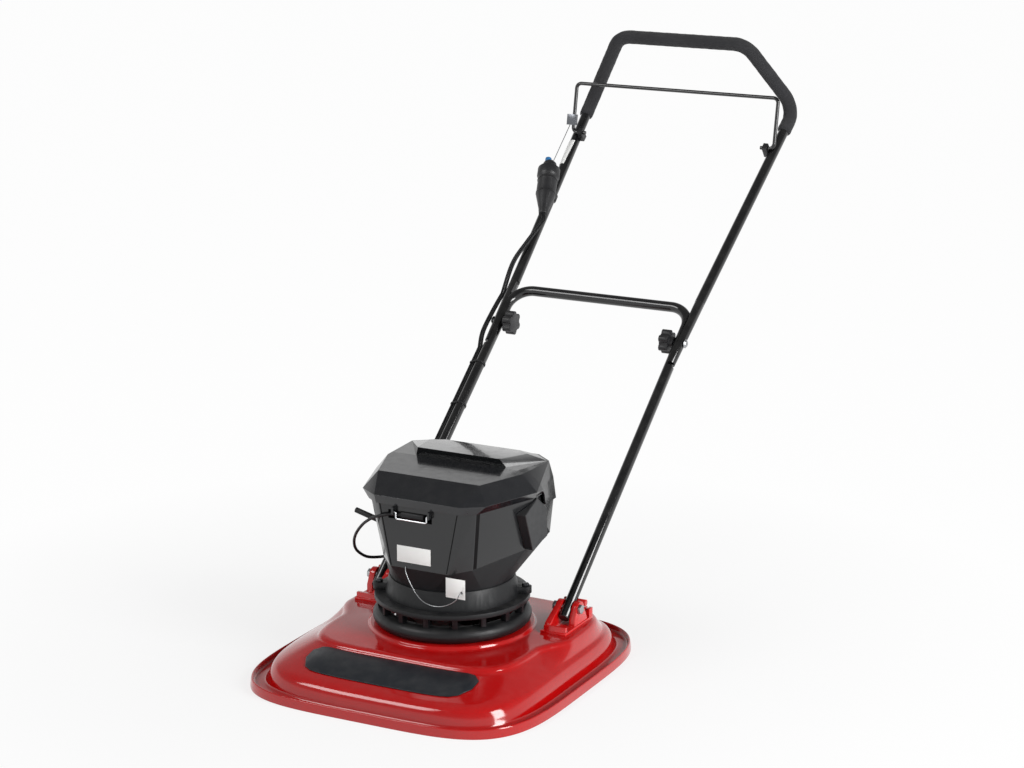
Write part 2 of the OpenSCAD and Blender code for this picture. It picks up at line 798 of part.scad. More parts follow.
module side_plug() {
    color("#17181a") difference() {
        rod(side_plug_from, side_plug_to, 5);
        cowl_block(0);
    }
}

label_size = [67, 0.6, 30];
label_at = [-43, 11];

module blank_label() {
    color("white") translate([label_at.x, panel_y - label_size.y - 0.1, cowl_z + label_at.y]) cube(label_size);
}

tag_size = [38, 0.8, 36];
tag_at = [53, panel_y + 1, neck_top - 1];
tag_hole = [31, 12];
wire_r = 0.8;
wire_points = [
    [-26, -122.9, 43], [-24.5, -123.6, 31], [-13, -123.5, 8], [0, -123.5, -9], [14, -123.5, -18],
    [32, -123.5, -21], [52, -124, -17], [70, -125, -7], [80, -125.5, 4], [84, -124.5, 11], [84, -118.5, 11]];

module blank_tag() {
    color("white") translate(tag_at) difference() {
        cube(tag_size);
        translate([tag_hole.x, -1, tag_hole.y]) rotate([-90, 0, 0]) cylinder(r = 2.5, h = 3);
    }
}

module tag_wire() {
    color("lightgrey") translate([0, 0, neck_top]) cord(wire_points, wire_r, 8, 1);
}

module plug_clip() {
    color("silver") translate([0, clip_y, clip_z]) rotate([90, 0, 0]) pipe([
        [clip_x[0] - lug_gap - lug_w, 0, 0], [clip_x[0], 0, 0], [clip_x[0], -clip_drop, 0],
        [clip_x[1], -clip_drop, 0], [clip_x[1], 0, 0], [clip_x[1] + lug_gap + lug_w, 0, 0]],
        clip_bend, clip_r);
}

// Spindle

blade_z = 18;
spacer_h = 8;
hub_r = 24;
plate_z = blade_z + blade_t + spacer_h;
vane_h = 26;
washer_h = 3;
head_h = 6;

module drilled(h) {
    difference() {
        children();
        translate([0, 0, -1]) cylinder(r = shaft_r + run_gap, h = h + 2);
    }
}

module shaft() {
    color("silver") translate([0, 0, blade_z]) cylinder(r = shaft_r, h = motor_top + 10 - blade_z);
}

module rotor() {
    top = motor_top + 4;
    color("#8f9398") rotate_extrude() polygon([
        [shaft_r + run_gap, top], [rotor_r - rotor_t, top], [rotor_r - rotor_t, rotor_z], [rotor_r, rotor_z],
        [rotor_r, top + 5], [shaft_r + run_gap, top + 5]]);
}

module impeller() {
    color("#3a3c40") translate([0, 0, plate_z]) drilled(vane_h + 10) union() {
        cylinder(r = impeller_r, h = 4);
        cylinder(r = hub_r, h = vane_h + 4);
        for (i = [0:vanes - 1]) rotate(360*i/vanes) translate([impeller_r*0.45, 0, 3]) rotate(-35)
            cube([impeller_r*0.5, 3, vane_h]);
    }
}

module blade_spacer() {
    color("silver") translate([0, 0, blade_z + blade_t]) drilled(spacer_h) cylinder(r = hub_r, h = spacer_h);
}

module cutter_blade() {
    color("gainsboro") translate([0, 0, blade_z]) drilled(blade_t) difference() {
        translate([-blade_l/2, -blade_w/2, 0]) cube([blade_l, blade_w, blade_t]);
        for (a = [0, 180]) rotate(a) translate([blade_l/2 - 90, blade_w/2 - 8, blade_t])
            rotate([-25, 0, 0]) translate([0, 0, -blade_t]) cube([100, 20, 4*blade_t]);
    }
}

module blade_washer() {
    color("silver") translate([0, 0, blade_z - washer_h]) cylinder(r = 20, h = washer_h);
}

module blade_bolt() {
    color("silver") translate([0, 0, blade_z - washer_h - head_h]) cylinder(r = 11, h = head_h, $fn = 6);
}

// Lower handle

bar_bend = 45;
lap_from = clamp_s - 60;
lap_to = bar_s + tube_r + move_gap + 4;
lap_t = 3;
tube_bore = tube_r - tube_wall;

function leg_path(past) = [[-leg_x, -past, 0], [-leg_x, bar_s, 0], [leg_x, bar_s, 0], [leg_x, -past, 0]];

module lower_tube() {
    color("#151618") leg_frame() difference() {
        union() {
            difference() {
                pipe(leg_path(tail_s), bar_bend, tube_r);
                pipe(leg_path(tail_s + 1), bar_bend, tube_bore);
                both_sides() translate([leg_x - move_gap/2, lap_from, -2*tube_r])
                    cube([4*tube_r, lap_to - lap_from, 4*tube_r]);
            }
            both_sides() translate([leg_x - move_gap/2 - lap_t, lap_from - lap_t, -tube_r + 0.2])
                cube([lap_t, clamp_s - lap_from + 36, 2*tube_r - 0.4]);
        }
        across(-leg_x - 2*tube_r, leg_x + 2*tube_r, bolt_r + run_gap);
        translate([0, clamp_s, 0]) across(-leg_x - 2*tube_r, leg_x + 2*tube_r, clamp_r + run_gap);
    }
}

module leg_plugs() {
    color("#101113") leg_frame() both_sides() translate([leg_x, -tail_s, 0]) rotate([90, 0, 0]) {
        translate([0, 0, -8]) cylinder(r = tube_bore - run_gap, h = 8);
        cylinder(r = tube_r, h = 2);
    }
}

knob_hub = 6;
knob_w = 18;
lap_out = leg_x + lap_end*splay + tube_r;
head_r = 9;

head_gap = move_gap + head_r*splay + 0.1;

module clamp_bolts() {
    color("silver") both_sides() translate([0, clamp_y, clamp_z]) {
        across(leg_x - tube_r - move_gap - knob_hub - knob_w + 3, lap_out + head_gap, clamp_r);
        translate([lap_out + head_gap, 0, 0]) rotate([0, 90, 0])
            cylinder(r1 = head_r, r2 = head_r - 4, h = 3.5);
    }
}

lobes = 6;
lobe_r = 7;

module knob() {
    knob_x = leg_x - tube_r - move_gap;
    color("#1b1c1f") translate([knob_x, clamp_y, clamp_z]) rotate([0, -90, 0]) difference() {
        union() {
            cylinder(r = 11, h = knob_hub + 1);
            translate([0, 0, knob_hub]) linear_extrude(knob_w) {
                circle(knob_r - lobe_r + 2);
                for (i = [0:lobes - 1]) rotate(360*i/lobes) translate([knob_r - lobe_r, 0]) circle(lobe_r);
            }
        }
        translate([0, 0, -1]) cylinder(r = clamp_r + run_gap, h = knob_hub + knob_w - 1);
    }
}

module right_knob() knob();
module left_knob() mirror([1, 0, 0]) knob();

// Two cables run side by side down the outside of the left legs.
cable_r = 2.4;
cable_pitch = 5.4;
cable_x = -(leg_x + tube_r + cable_r + 0.4);
cable_top = clamp_s - 70;
cable_end = 120;
tie_spots = [504, 402, 230];
tie_w = 4;
tie_t = 1.2;

module cable_pair() {
    for (i = [0, 1]) translate([-i*cable_pitch, 0, 0]) children();
}

module lower_cables() {
    color("#1a1b1d") leg_frame() cable_pair() rod([cable_x, cable_end, 0], [cable_x, cable_top, 0], cable_r);
}

module tie_outline(grow) {
    hull() {
        translate([-leg_x, 0]) circle(tube_r + 0.1 + grow, $fn = 32);
        translate([cable_x - cable_pitch, 0]) circle(cable_r + 0.2 + grow, $fn = 32);
    }
}

module cable_ties() {
    color("#101113") leg_frame() for (s = tie_spots) translate([0, s, 0]) rotate([90, 0, 0])
        linear_extrude(tie_w) difference() {
            tie_outline(tie_t);
            tie_outline(0);
        }
}

tail_from = [cable_x - cable_pitch/2, pivot_y + cable_end*cos(lean), pivot_z + cable_end*sin(lean)];
sheath_r = cable_pitch/2 + cable_r + 0.2;
end_gap = 0.8;
tail_points = [
    tail_from - 2*end_gap*[0, cos(lean), sin(lean)], tail_from + [-3, -21, -12], tail_from + [4, -43, -2],
    rear_gland + [-44, 8, -19], rear_gland + [-24, 0, 0], rear_gland - [gland_l + 2*end_gap, 0, 0]];

module tail_sheath() {
    color("#1a1b1d") cord(tail_points, sheath_r, 10, 2);
}

// Upper handle

upper_bend = 45;
grip_top_t = leg_run + 31;
foam_from = leg_run - foam_tail;
foam_gap = 0.25;
function upper_x(t) = leg_x + splay*(t + lap_end);
upper_half = [
    [leg_x, -lap_end, 0], [grip_half, leg_run, 0], [grip_top_half, grip_top_t, grip_rise]];
round_from = bar_past + tube_r + 8;
spigot = 24;
spigot_gap = 0.2;

module upper_tube() {
    half = [[upper_x(round_from), round_from, 0], upper_half[1], upper_half[2]];
    color("#151618") upper_frame() bent_tube(concat(half, flipped(half)), upper_bend, tube_r, tube_bore);
}

// Half-round ends that lie against the lower legs and plug into the upper tube.
module lap_ends() {
    color("#151618") upper_frame() both_sides() difference() {
        union() {
            difference() {
                rod(upper_half[0], [upper_x(round_from), round_from, 0], tube_r);
                translate([0, -2*lap_end, -2*tube_r])
                    cube([leg_x + move_gap/2, 2*lap_end + round_from + 20, 4*tube_r]);
            }
            rod([upper_x(round_from - 4), round_from - 4, 0],
                [upper_x(round_from + spigot), round_from + spigot, 0], tube_bore - spigot_gap);
        }
        across(0, lap_out + 2*tube_r, clamp_r + run_gap);
    }
}

module foam_grip() {
    half = [[upper_x(foam_from), foam_from, 0], upper_half[1], upper_half[2]];
    color("#222326") upper_frame()
        bent_tube(concat(half, flipped(half)), upper_bend, foam_r, tube_r + foam_gap);
}

// Bail

bail_x = grip_half - 1;
saddle_w = 10;
saddle_x = upper_x(bail_t) - tube_r - saddle_w + 2;

module bail_saddles() {
    color("#151618") upper_frame() both_sides() difference() {
        translate([saddle_x, bail_t - saddle_l/2, -tube_r/2])
            cube([saddle_w, saddle_l, bail_n + tube_r/2 + bail_r + 3]);
        rod(upper_half[0], upper_half[1], tube_r + run_gap);
        translate([0, bail_t, bail_n]) across(saddle_x - 1, saddle_x + saddle_w + 1, bail_r + run_gap);
    }
}

bail_l = norm([bail_reach, bail_rise]);
bail_lean = atan2(bail_rise, bail_reach);
bail_bend = 10;

module bail_frame() {
    upper_frame() translate([0, bail_t, bail_n]) rotate([bail_lean, 0, 0]) children();
}

module bail_rod() {
    pin = saddle_x - 6;
    color("#6d7075") bail_frame() pipe([
        [-pin, 0, 0], [-bail_x, 0, 0], [-bail_x, bail_l, 0],
        [bail_x, bail_l, 0], [bail_x, 0, 0], [pin, 0, 0]], bail_bend, bail_r);
}

yoke_size = [20, 22, 9];
yoke_from = 14;

module cable_yoke() {
    color("#7d8187") bail_frame() difference() {
        translate([-bail_x - yoke_size.x + bail_r + 2, yoke_from, -yoke_size.z/2]) cube(yoke_size);
        rod([-bail_x, 0, 0], [-bail_x, bail_l, 0], bail_r + run_gap);
    }
}

// Start switch on the left upper leg

switch_low = [-192.7, 260.4, 27.5];
switch_dir = unit([-33, 131, 10]);
body_l = 97;
collar_l = 20;
body_r = 20;
collar_r = 23;
cap_l = 18;
cap_r = 13.5;
button_r = 6.5;
button_out = 7;
button_at = [-4, 3];
button_travel = 3;

module switch_frame() {
    upper_frame() along(switch_low, switch_low + switch_dir) children();
}

module switch_body() {
    color("#1d1e21") switch_frame() rotate_extrude() polygon([
        [0, 0], [9, 0], [11, 14], [body_r, 48], [body_r, body_l - 6], [collar_r, body_l],
        [collar_r, body_l + collar_l - 2], [collar_r - 3, body_l + collar_l], [0, body_l + collar_l]]);
}

module switch_cap() {
    color("#2a2b2f") switch_frame() translate([0, 0, body_l + collar_l]) difference() {
        rotate_extrude() polygon([
            [0, 0], [cap_r + 2, 0], [cap_r, cap_l - 5], [cap_r - 4, cap_l], [0, cap_l]]);
        translate([button_at.x, button_at.y, cap_l - button_travel - 3])
            cylinder(r = button_r + run_gap, h = 20);
    }
}

module start_button() {
    color("#1f6fb5") switch_frame() translate([button_at.x, button_at.y, body_l + collar_l + cap_l])
        translate([0, 0, -2]) cylinder(r = button_r, h = button_out + 2);
}

clamp_t = 330;
strap_w = 12;

module switch_clamp() {
    color("#151618") upper_frame() difference() {
        union() {
            along([-upper_x(clamp_t - strap_w/2), clamp_t - strap_w/2, 0], [-upper_x(clamp_t), clamp_t, 0])
                cylinder(r = tube_r + 2.5, h = strap_w);
            translate([-upper_x(clamp_t) - tube_r - 1, clamp_t - strap_w/2, 0])
                cube([2*tube_r + 2, strap_w, tube_r + 8]);
        }
        rod([-upper_half[0].x, upper_half[0].y, 0], [-upper_half[1].x, upper_half[1].y, 0], tube_r + run_gap);
        along(switch_low, switch_low + switch_dir) cylinder(r = body_r + run_gap, h = body_l);
    }
}

sleeve_from = 415;
sleeve_l = 66;
sleeve_t = 0.7;

module tube_sleeve() {
    color("white") upper_frame() intersection() {
        along([-upper_x(sleeve_from), sleeve_from, 0], [-upper_x(sleeve_from + 1), sleeve_from + 1, 0])
            difference() {
                cylinder(r = tube_r + run_gap + sleeve_t, h = sleeve_l);
                translate([0, 0, -1]) cylinder(r = tube_r + run_gap, h = sleeve_l + 2);
            }
        translate([-upper_x(sleeve_from) - 3*tube_r - 6, sleeve_from - 20, -2*tube_r])
            cube([3*tube_r + 8, 120, 4*tube_r]);
    }
}

fold_t = 70;
upper_cable_x = cable_x - 6;

module upper_cables() {
    start = switch_low + [cable_pitch/2, 0, 0];
    color("#1a1b1d") upper_frame() cable_pair() cord([
        start - switch_dir*2*end_gap, start - switch_dir*20, [-199, 190, 22], [-214, 140, 12],
        [upper_cable_x, fold_t, 0]], cable_r, 10, 2);
}

bridge_from = cable_top - clamp_s;

module fold_cables() {
    color("#1a1b1d") upper_frame() cable_pair() cord([
        [upper_cable_x, fold_t - end_gap, 0], [upper_cable_x - 3, 24, 0], [upper_cable_x - 3, -30, 0],
        [cable_x, bridge_from*cos(upper_lean - lean) + end_gap, -bridge_from*sin(upper_lean - lean)]],
        cable_r, 10, 2);
}

pull_r = 0.8;
pull_top = [
    -bail_x - yoke_size.x + bail_r + 8, bail_t + yoke_from*cos(bail_lean),
    bail_n + yoke_from*sin(bail_lean)];
pull_low = switch_low + switch_dir*(body_l + collar_l + cap_l + 0.3) + [6, 6, 0];

module pull_wire() {
    color("silver") upper_frame() rod(pull_top + end_gap*unit(pull_low - pull_top), pull_low, pull_r);
}

deck_shell();
front_plate();
left_bracket();
right_bracket();
bracket_screws();
pivot_bolts();
base_ring();
intake_cage();
motor_mount();
mount_bolts();
bearings();
stator();
under_cowl();
lower_cowl();
front_cover();
left_side_cover();
right_side_cover();
lid_hinge_pins();
control_board();
heat_sink();
battery();
front_plug();
loop_cable();
cable_glands();
side_plug();
blank_label();
blank_tag();
tag_wire();
battery_lid();
shaft();
rotor();
impeller();
blade_spacer();
cutter_blade();
blade_washer();
blade_bolt();
plug_clip();
lower_tube();
leg_plugs();
clamp_bolts();
cable_ties();
lower_cables();
tail_sheath();
upper_tube();
lap_ends();
foam_grip();
bail_saddles();
tube_sleeve();
switch_body();
switch_cap();
switch_clamp();
upper_cables();
fold_cables();
bail_rod();
cable_yoke();
pull_wire();
left_knob();
right_knob();
start_button();
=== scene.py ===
import json
import math

import bmesh
import bpy
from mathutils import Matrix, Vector
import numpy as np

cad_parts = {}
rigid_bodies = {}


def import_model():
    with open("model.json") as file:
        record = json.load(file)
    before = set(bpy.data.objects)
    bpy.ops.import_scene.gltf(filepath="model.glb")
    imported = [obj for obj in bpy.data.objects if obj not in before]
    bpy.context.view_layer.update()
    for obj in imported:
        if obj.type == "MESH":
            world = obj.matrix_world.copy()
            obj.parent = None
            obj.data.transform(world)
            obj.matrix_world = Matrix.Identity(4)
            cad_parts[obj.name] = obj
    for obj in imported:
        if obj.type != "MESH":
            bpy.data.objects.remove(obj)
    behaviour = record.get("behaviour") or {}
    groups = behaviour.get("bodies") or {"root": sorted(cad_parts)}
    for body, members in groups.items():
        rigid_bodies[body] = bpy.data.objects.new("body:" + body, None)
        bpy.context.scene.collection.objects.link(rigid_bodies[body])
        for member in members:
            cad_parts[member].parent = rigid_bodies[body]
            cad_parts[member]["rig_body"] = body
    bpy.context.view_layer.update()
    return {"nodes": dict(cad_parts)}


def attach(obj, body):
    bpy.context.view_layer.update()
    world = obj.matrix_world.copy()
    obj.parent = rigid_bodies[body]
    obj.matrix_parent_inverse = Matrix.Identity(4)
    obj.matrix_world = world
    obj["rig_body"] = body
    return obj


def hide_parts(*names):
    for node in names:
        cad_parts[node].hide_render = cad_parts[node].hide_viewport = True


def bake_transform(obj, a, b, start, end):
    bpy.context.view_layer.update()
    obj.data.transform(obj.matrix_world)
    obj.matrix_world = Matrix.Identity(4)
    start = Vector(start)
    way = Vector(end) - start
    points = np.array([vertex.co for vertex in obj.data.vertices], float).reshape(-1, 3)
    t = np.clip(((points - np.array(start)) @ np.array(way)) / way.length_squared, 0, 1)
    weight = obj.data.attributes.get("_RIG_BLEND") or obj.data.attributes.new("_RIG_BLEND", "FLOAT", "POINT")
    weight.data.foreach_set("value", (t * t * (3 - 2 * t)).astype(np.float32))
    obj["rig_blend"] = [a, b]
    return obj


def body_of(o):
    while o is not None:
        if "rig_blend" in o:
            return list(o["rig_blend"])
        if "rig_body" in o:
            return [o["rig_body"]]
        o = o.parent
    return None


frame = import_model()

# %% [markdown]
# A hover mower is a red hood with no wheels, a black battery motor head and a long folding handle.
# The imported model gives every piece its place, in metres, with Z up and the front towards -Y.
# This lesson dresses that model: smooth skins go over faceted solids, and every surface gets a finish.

# %% [markdown]
# The photograph was taken from the front right, a little above the motor head, with a long lens.
# The eye point and the lens were worked out from the deck's corners and the handle's length.
# The picture is 1024 pixels wide, so a focal length of 2660 pixels is 93.5 mm on a 36 mm sensor.

# %% Camera
EYE = Vector((2.1681, -3.9654, 1.7225))
AIM = Vector((0.12056, 0.0, 0.5292))
FOCAL_PIXELS = 2659.6
PICTURE_PIXELS = 1024
SENSOR_MM = 36.0
photo_camera = bpy.data.objects.new("photo_camera", bpy.data.cameras.new("photo_camera"))
photo_camera.data.sensor_fit = "HORIZONTAL"
photo_camera.data.sensor_width = SENSOR_MM
photo_camera.data.lens = FOCAL_PIXELS/PICTURE_PIXELS*SENSOR_MM
photo_camera.data.clip_end = 60
photo_camera.location = EYE
photo_camera.rotation_euler = (AIM - EYE).to_track_quat("-Z", "Y").to_euler()
bpy.context.scene.collection.objects.link(photo_camera)
bpy.context.scene.camera = photo_camera
print("camera distance", round((AIM - EYE).length, 3))

# %% [markdown]
# A finish is a small node tree. Four things keep it from looking like flat paint: a slow drift of
# colour, fine scuffs that change the roughness, a grain in the bump, and a little dust on what faces up.
# Each is a noise on Object coordinates, in metres, so a scale of 1000 gives grain about 1 mm wide.

# %% Finish builder
DUST_COLOUR = (0.42, 0.40, 0.37)
PATCH_SCALE = 14.0
SPECK_SCALE = 48
CLOUD_SCALE = 60
SCUFF_SCALE = 90
SCUFF_ROUGHNESS = 0.06
CLOUD_ROUGHNESS = 0.07
COAT_ROUGHNESS = 0.05
GRAIN_DEPTH = 0.0004


def tone(red, green, blue):
    """A colour written as it looks on screen, 0 to 255, turned into linear light."""
    return tuple((v/255/12.92 if v <= 10 else ((v/255 + 0.055)/1.055)**2.4) for v in (red, green, blue))


def finish(name, colour, rough, drift=0.2, grain=900.0, bump=0.15, metallic=0.0, gloss=0.5, coat=0.0,
           sheen=0.0, streak=1.0, dust=0.04):
    """A material with one base colour that drifts, and with scuffs, grain and dust."""
    mat = bpy.data.materials.new(name)
    mat.use_nodes = True
    nodes, links = mat.node_tree.nodes, mat.node_tree.links
    shader = nodes["Principled BSDF"]
    shader.inputs["Metallic"].default_value = metallic
    shader.inputs["Specular IOR Level"].default_value = gloss
    shader.inputs["Coat Weight"].default_value = coat
    shader.inputs["Coat Roughness"].default_value = COAT_ROUGHNESS
    shader.inputs["Sheen Weight"].default_value = sheen
    place = nodes.new("ShaderNodeTexCoord")

    def noise(scale, detail, stretch=(1.0, 1.0, 1.0)):
        turned = nodes.new("ShaderNodeMapping")
        turned.inputs["Scale"].default_value = stretch
        links.new(place.outputs["Object"], turned.inputs["Vector"])
        node = nodes.new("ShaderNodeTexNoise")
        node.inputs["Scale"].default_value = scale
        node.inputs["Detail"].default_value = detail
        links.new(turned.outputs["Vector"], node.inputs["Vector"])
        return node.outputs["Fac"]

    def ranged(value, low, high, out_low, out_high):
        node = nodes.new("ShaderNodeMapRange")
        limits = {"From Min": low, "From Max": high, "To Min": out_low, "To Max": out_high}
        for label, number in limits.items():
            node.inputs[label].default_value = number
        links.new(value, node.inputs["Value"])
        return node.outputs["Result"]

    def combined(operation, a, b):
        node = nodes.new("ShaderNodeMath")
        node.operation = operation
        links.new(a, node.inputs[0])
        links.new(b, node.inputs[1])
        return node.outputs["Value"]

    def mixed(factor, a, b):
        node = nodes.new("ShaderNodeMix")
        node.data_type = "RGBA"
        links.new(factor, node.inputs["Factor"])
        for label, value in (("A", a), ("B", b)):
            if isinstance(value, tuple):
                node.inputs[label].default_value = (*value, 1)
            else:
                links.new(value, node.inputs[label])
        return node.outputs["Result"]

    dark = tuple(v*(1 - drift) for v in colour)
    pale = tuple(min(v*(1 + drift), 1) for v in colour)
    tinted = mixed(noise(PATCH_SCALE, 4, (1.0, 1.0, streak)), dark, pale)
    split = nodes.new("ShaderNodeSeparateXYZ")
    links.new(place.outputs["Normal"], split.inputs["Vector"])
    upward = ranged(split.outputs["Z"], 0.3, 1.0, 0.0, 1.0)
    specks = ranged(noise(SPECK_SCALE, 6), 0.42, 0.72, 0.15, 1.0)
    settled = ranged(combined("MULTIPLY", upward, specks), 0.0, 1.0, 0.0, dust)
    links.new(mixed(settled, tinted, DUST_COLOUR), shader.inputs["Base Color"])
    smoothest, roughest = max(rough - CLOUD_ROUGHNESS, 0.02), min(rough + CLOUD_ROUGHNESS, 1.0)
    cloud = ranged(noise(CLOUD_SCALE, 5), 0.25, 0.75, smoothest, roughest)
    lines = ranged(noise(SCUFF_SCALE, 6, (1.0, 9.0, 3.0)), 0.60, 0.72, 0.0, SCUFF_ROUGHNESS)
    links.new(combined("ADD", cloud, lines), shader.inputs["Roughness"])
    relief = nodes.new("ShaderNodeBump")
    relief.inputs["Strength"].default_value = bump
    relief.inputs["Distance"].default_value = GRAIN_DEPTH
    links.new(noise(grain, 3), relief.inputs["Height"])
    links.new(relief.outputs["Normal"], shader.inputs["Normal"])
    return mat


print("grain", 1000*GRAIN_DEPTH, "mm deep at full strength")

# %% [markdown]
# The real pieces fall into a few families: glossy red plastic on the hood and brackets, satin moulded
# plastic on the head, gloss black enamel on the tubes, soft foam, rubber, and bare or plated metal.
# Each family gets its own grain and gloss, with the moulded plastic rougher than the enamel.

# %% Finishes
HOOD_RED = finish("hood_red", tone(172, 7, 8), 0.13, drift=0.06, grain=240, bump=0.02, coat=0.4, dust=0.02)
BRACKET_RED = finish("bracket_red", tone(196, 12, 12), 0.2, drift=0.10, grain=500, bump=0.08,
                     coat=0.4, dust=0.03)
PLATE_SLATE = finish("plate_slate", tone(30, 33, 38), 0.34, drift=0.18, grain=700, bump=0.05, gloss=0.35)
COWL_BLACK = finish("cowl_black", tone(20, 21, 23), 0.2, drift=0.12, grain=1500, bump=0.05,
                    gloss=0.5, coat=0.25, dust=0.02)
COVER_BLACK = finish("cover_black", tone(26, 27, 30), 0.2, drift=0.12, grain=1400, bump=0.05,
                     gloss=0.5, coat=0.25, dust=0.02)
LID_BLACK = finish("lid_black", tone(24, 25, 27), 0.18, drift=0.12, grain=1400, bump=0.04,
                   gloss=0.45, coat=0.6, dust=0.02)
UNDER_BLACK = finish("under_black", tone(24, 25, 27), 0.5, drift=0.15, grain=1200, bump=0.12,
                     gloss=0.3, dust=0.02)
SIDE_BLACK = finish("side_black", tone(34, 35, 37), 0.42, drift=0.15, grain=1300, bump=0.16, gloss=0.45)
# Painted shade: this near-black paints the shade of a groove onto thin strips on the cowl.
PAINTED_SHADE_BLACK = finish("painted_shade_black", tone(6, 6, 7), 0.6, drift=0.3, grain=900, bump=0.1, gloss=0.15)
RING_BLACK = finish("ring_black", tone(20, 21, 23), 0.42, drift=0.22, grain=1000, bump=0.16, gloss=0.35)
MOUNT_CAST = finish("mount_cast", tone(19, 20, 22), 0.46, drift=0.2, grain=800, bump=0.22, gloss=0.35)
TUBE_ENAMEL = finish("tube_enamel", tone(10, 10, 12), 0.14, drift=0.2, grain=420, bump=0.04, coat=0.4)
GRIP_FOAM = finish("grip_foam", tone(46, 46, 48), 0.92, drift=0.25, grain=1500, bump=0.9,
                   gloss=0.2, sheen=0.12)
CABLE_RUBBER = finish("cable_rubber", tone(20, 20, 22), 0.5, drift=0.25, grain=1800, bump=0.25, gloss=0.35)
KNOB_BLACK = finish("knob_black", tone(28, 28, 30), 0.42, drift=0.2, grain=1200, bump=0.22)
STEEL = finish("zinc_steel", tone(176, 178, 180), 0.34, drift=0.2, grain=900, bump=0.15, metallic=1.0)
DARK_STEEL = finish("dark_steel", tone(70, 71, 74), 0.38, drift=0.2, grain=900, bump=0.15, metallic=0.9)
BLADE_STEEL = finish("blade_steel", tone(150, 152, 155), 0.38, drift=0.2, grain=500, bump=0.3,
                     metallic=1.0, streak=6)
BRIGHT_WIRE = finish("bright_wire", tone(222, 224, 226), 0.12, drift=0.08, grain=900, bump=0.05,
                     metallic=1.0)
BAIL_GREY = finish("bail_grey", tone(104, 106, 110), 0.25, drift=0.2, grain=800, bump=0.08, metallic=0.85)
COPPER = finish("copper_winding", tone(176, 106, 62), 0.35, drift=0.25, grain=700, bump=0.4,
                metallic=1.0, streak=30)
BOARD_GREEN = finish("board_green", tone(24, 82, 48), 0.4, drift=0.25, grain=500, bump=0.2)
SINK_METAL = finish("sink_metal", tone(170, 172, 176), 0.42, drift=0.15, grain=700, bump=0.25, metallic=1.0)
BATTERY_GREY = finish("battery_grey", tone(62, 64, 68), 0.5, drift=0.18, grain=1200, bump=0.25)
BLANK_WHITE = finish("blank_white", tone(236, 236, 234), 0.5, drift=0.03, grain=1600, bump=0.08)
BUTTON_BLUE = finish("button_blue", tone(40, 110, 165), 0.3, drift=0.12, grain=900, bump=0.1)
print("finishes", len(bpy.data.materials))

# %% [markdown]
# Much of the mower is tubes, rods and cables: a round section that follows a path. Geometry Nodes do
# that with Curve to Mesh, so one tree serves them all, and only the path and the radius change.
# The result is turned into a plain mesh, because the pieces have to ride on bodies.

# %% Node trees, and a tube along a path
CAP_ANGLE = 50


def new_tree(name, inputs):
    tree = bpy.data.node_groups.new(name, "GeometryNodeTree")
    tree.interface.new_socket("Geometry", in_out="INPUT", socket_type="NodeSocketGeometry")
    for label, kind in inputs:
        tree.interface.new_socket(label, in_out="INPUT", socket_type="NodeSocket" + kind)
    tree.interface.new_socket("Geometry", in_out="OUTPUT", socket_type="NodeSocketGeometry")
    return tree, tree.nodes.new("NodeGroupInput"), tree.nodes.new("NodeGroupOutput")


def close_tree(tree, start, end, geometry):
    """Ends a tree in Realize Instances and Set Material."""
    real = tree.nodes.new("GeometryNodeRealizeInstances")
    paint = tree.nodes.new("GeometryNodeSetMaterial")
    tree.links.new(geometry, real.inputs["Geometry"])
    tree.links.new(real.outputs["Geometry"], paint.inputs["Geometry"])
    tree.links.new(start.outputs["Material"], paint.inputs["Material"])
    tree.links.new(paint.outputs["Geometry"], end.inputs["Geometry"])


def grown(name, source, tree, values):
    """The mesh that a tree makes from a source object, as a new plain object."""
    modifier = source.modifiers.new("grow", "NODES")
    modifier.node_group = tree
    for socket in tree.interface.items_tree:
        if socket.in_out == "INPUT" and socket.name in values:
            modifier[socket.identifier] = values[socket.name]
    bpy.context.view_layer.update()
    ready = source.evaluated_get(bpy.context.evaluated_depsgraph_get())
    mesh = bpy.data.meshes.new_from_object(ready)
    source.modifiers.remove(modifier)
    bpy.data.objects.remove(source)
    mesh.name = name
    return shown(name, mesh)


def shown(name, mesh):
    piece = bpy.data.objects.new(name, mesh)
    bpy.context.scene.collection.objects.link(piece)
    return piece


tube_tree, tube_in, tube_out = new_tree(
    "tube_along_path", [("Radius", "Float"), ("Sides", "Int"), ("Material", "Material")])
round_section = tube_tree.nodes.new("GeometryNodeCurvePrimitiveCircle")
tube_skin = tube_tree.nodes.new("GeometryNodeCurveToMesh")
tube_skin.inputs["Fill Caps"].default_value = True
tube_smooth = tube_tree.nodes.new("GeometryNodeSetShadeSmooth")
tube_tree.links.new(tube_in.outputs["Radius"], round_section.inputs["Radius"])
tube_tree.links.new(tube_in.outputs["Sides"], round_section.inputs["Resolution"])
tube_tree.links.new(tube_in.outputs["Geometry"], tube_skin.inputs["Curve"])
tube_tree.links.new(round_section.outputs["Curve"], tube_skin.inputs["Profile Curve"])
tube_tree.links.new(tube_skin.outputs["Mesh"], tube_smooth.inputs["Geometry"])
close_tree(tube_tree, tube_in, tube_out, tube_smooth.outputs["Geometry"])


def path_object(points):
    """A curve object with straight stretches between the points."""
    data = bpy.data.curves.new("path", "CURVE")
    data.dimensions = "3D"
    spline = data.splines.new("POLY")
    spline.points.add(len(points) - 1)
    for knot, point in zip(spline.points, points):
        knot.co = (*point, 1)
    return shown("path", data)


def tube(name, points, radius, material, sides=24):
    values = {"Radius": radius, "Sides": sides, "Material": material}
    piece = grown(name, path_object(points), tube_tree, values)
    piece.data.set_sharp_from_angle(angle=math.radians(CAP_ANGLE))
    return piece


print("tube tree has", len(tube_tree.nodes), "nodes")

# %% [markdown]
# Paths come in two kinds. A cord lies on a smooth curve through its points, and a bent tube runs
# straight between corners that are rounded with one bend radius. Both are written here as points.

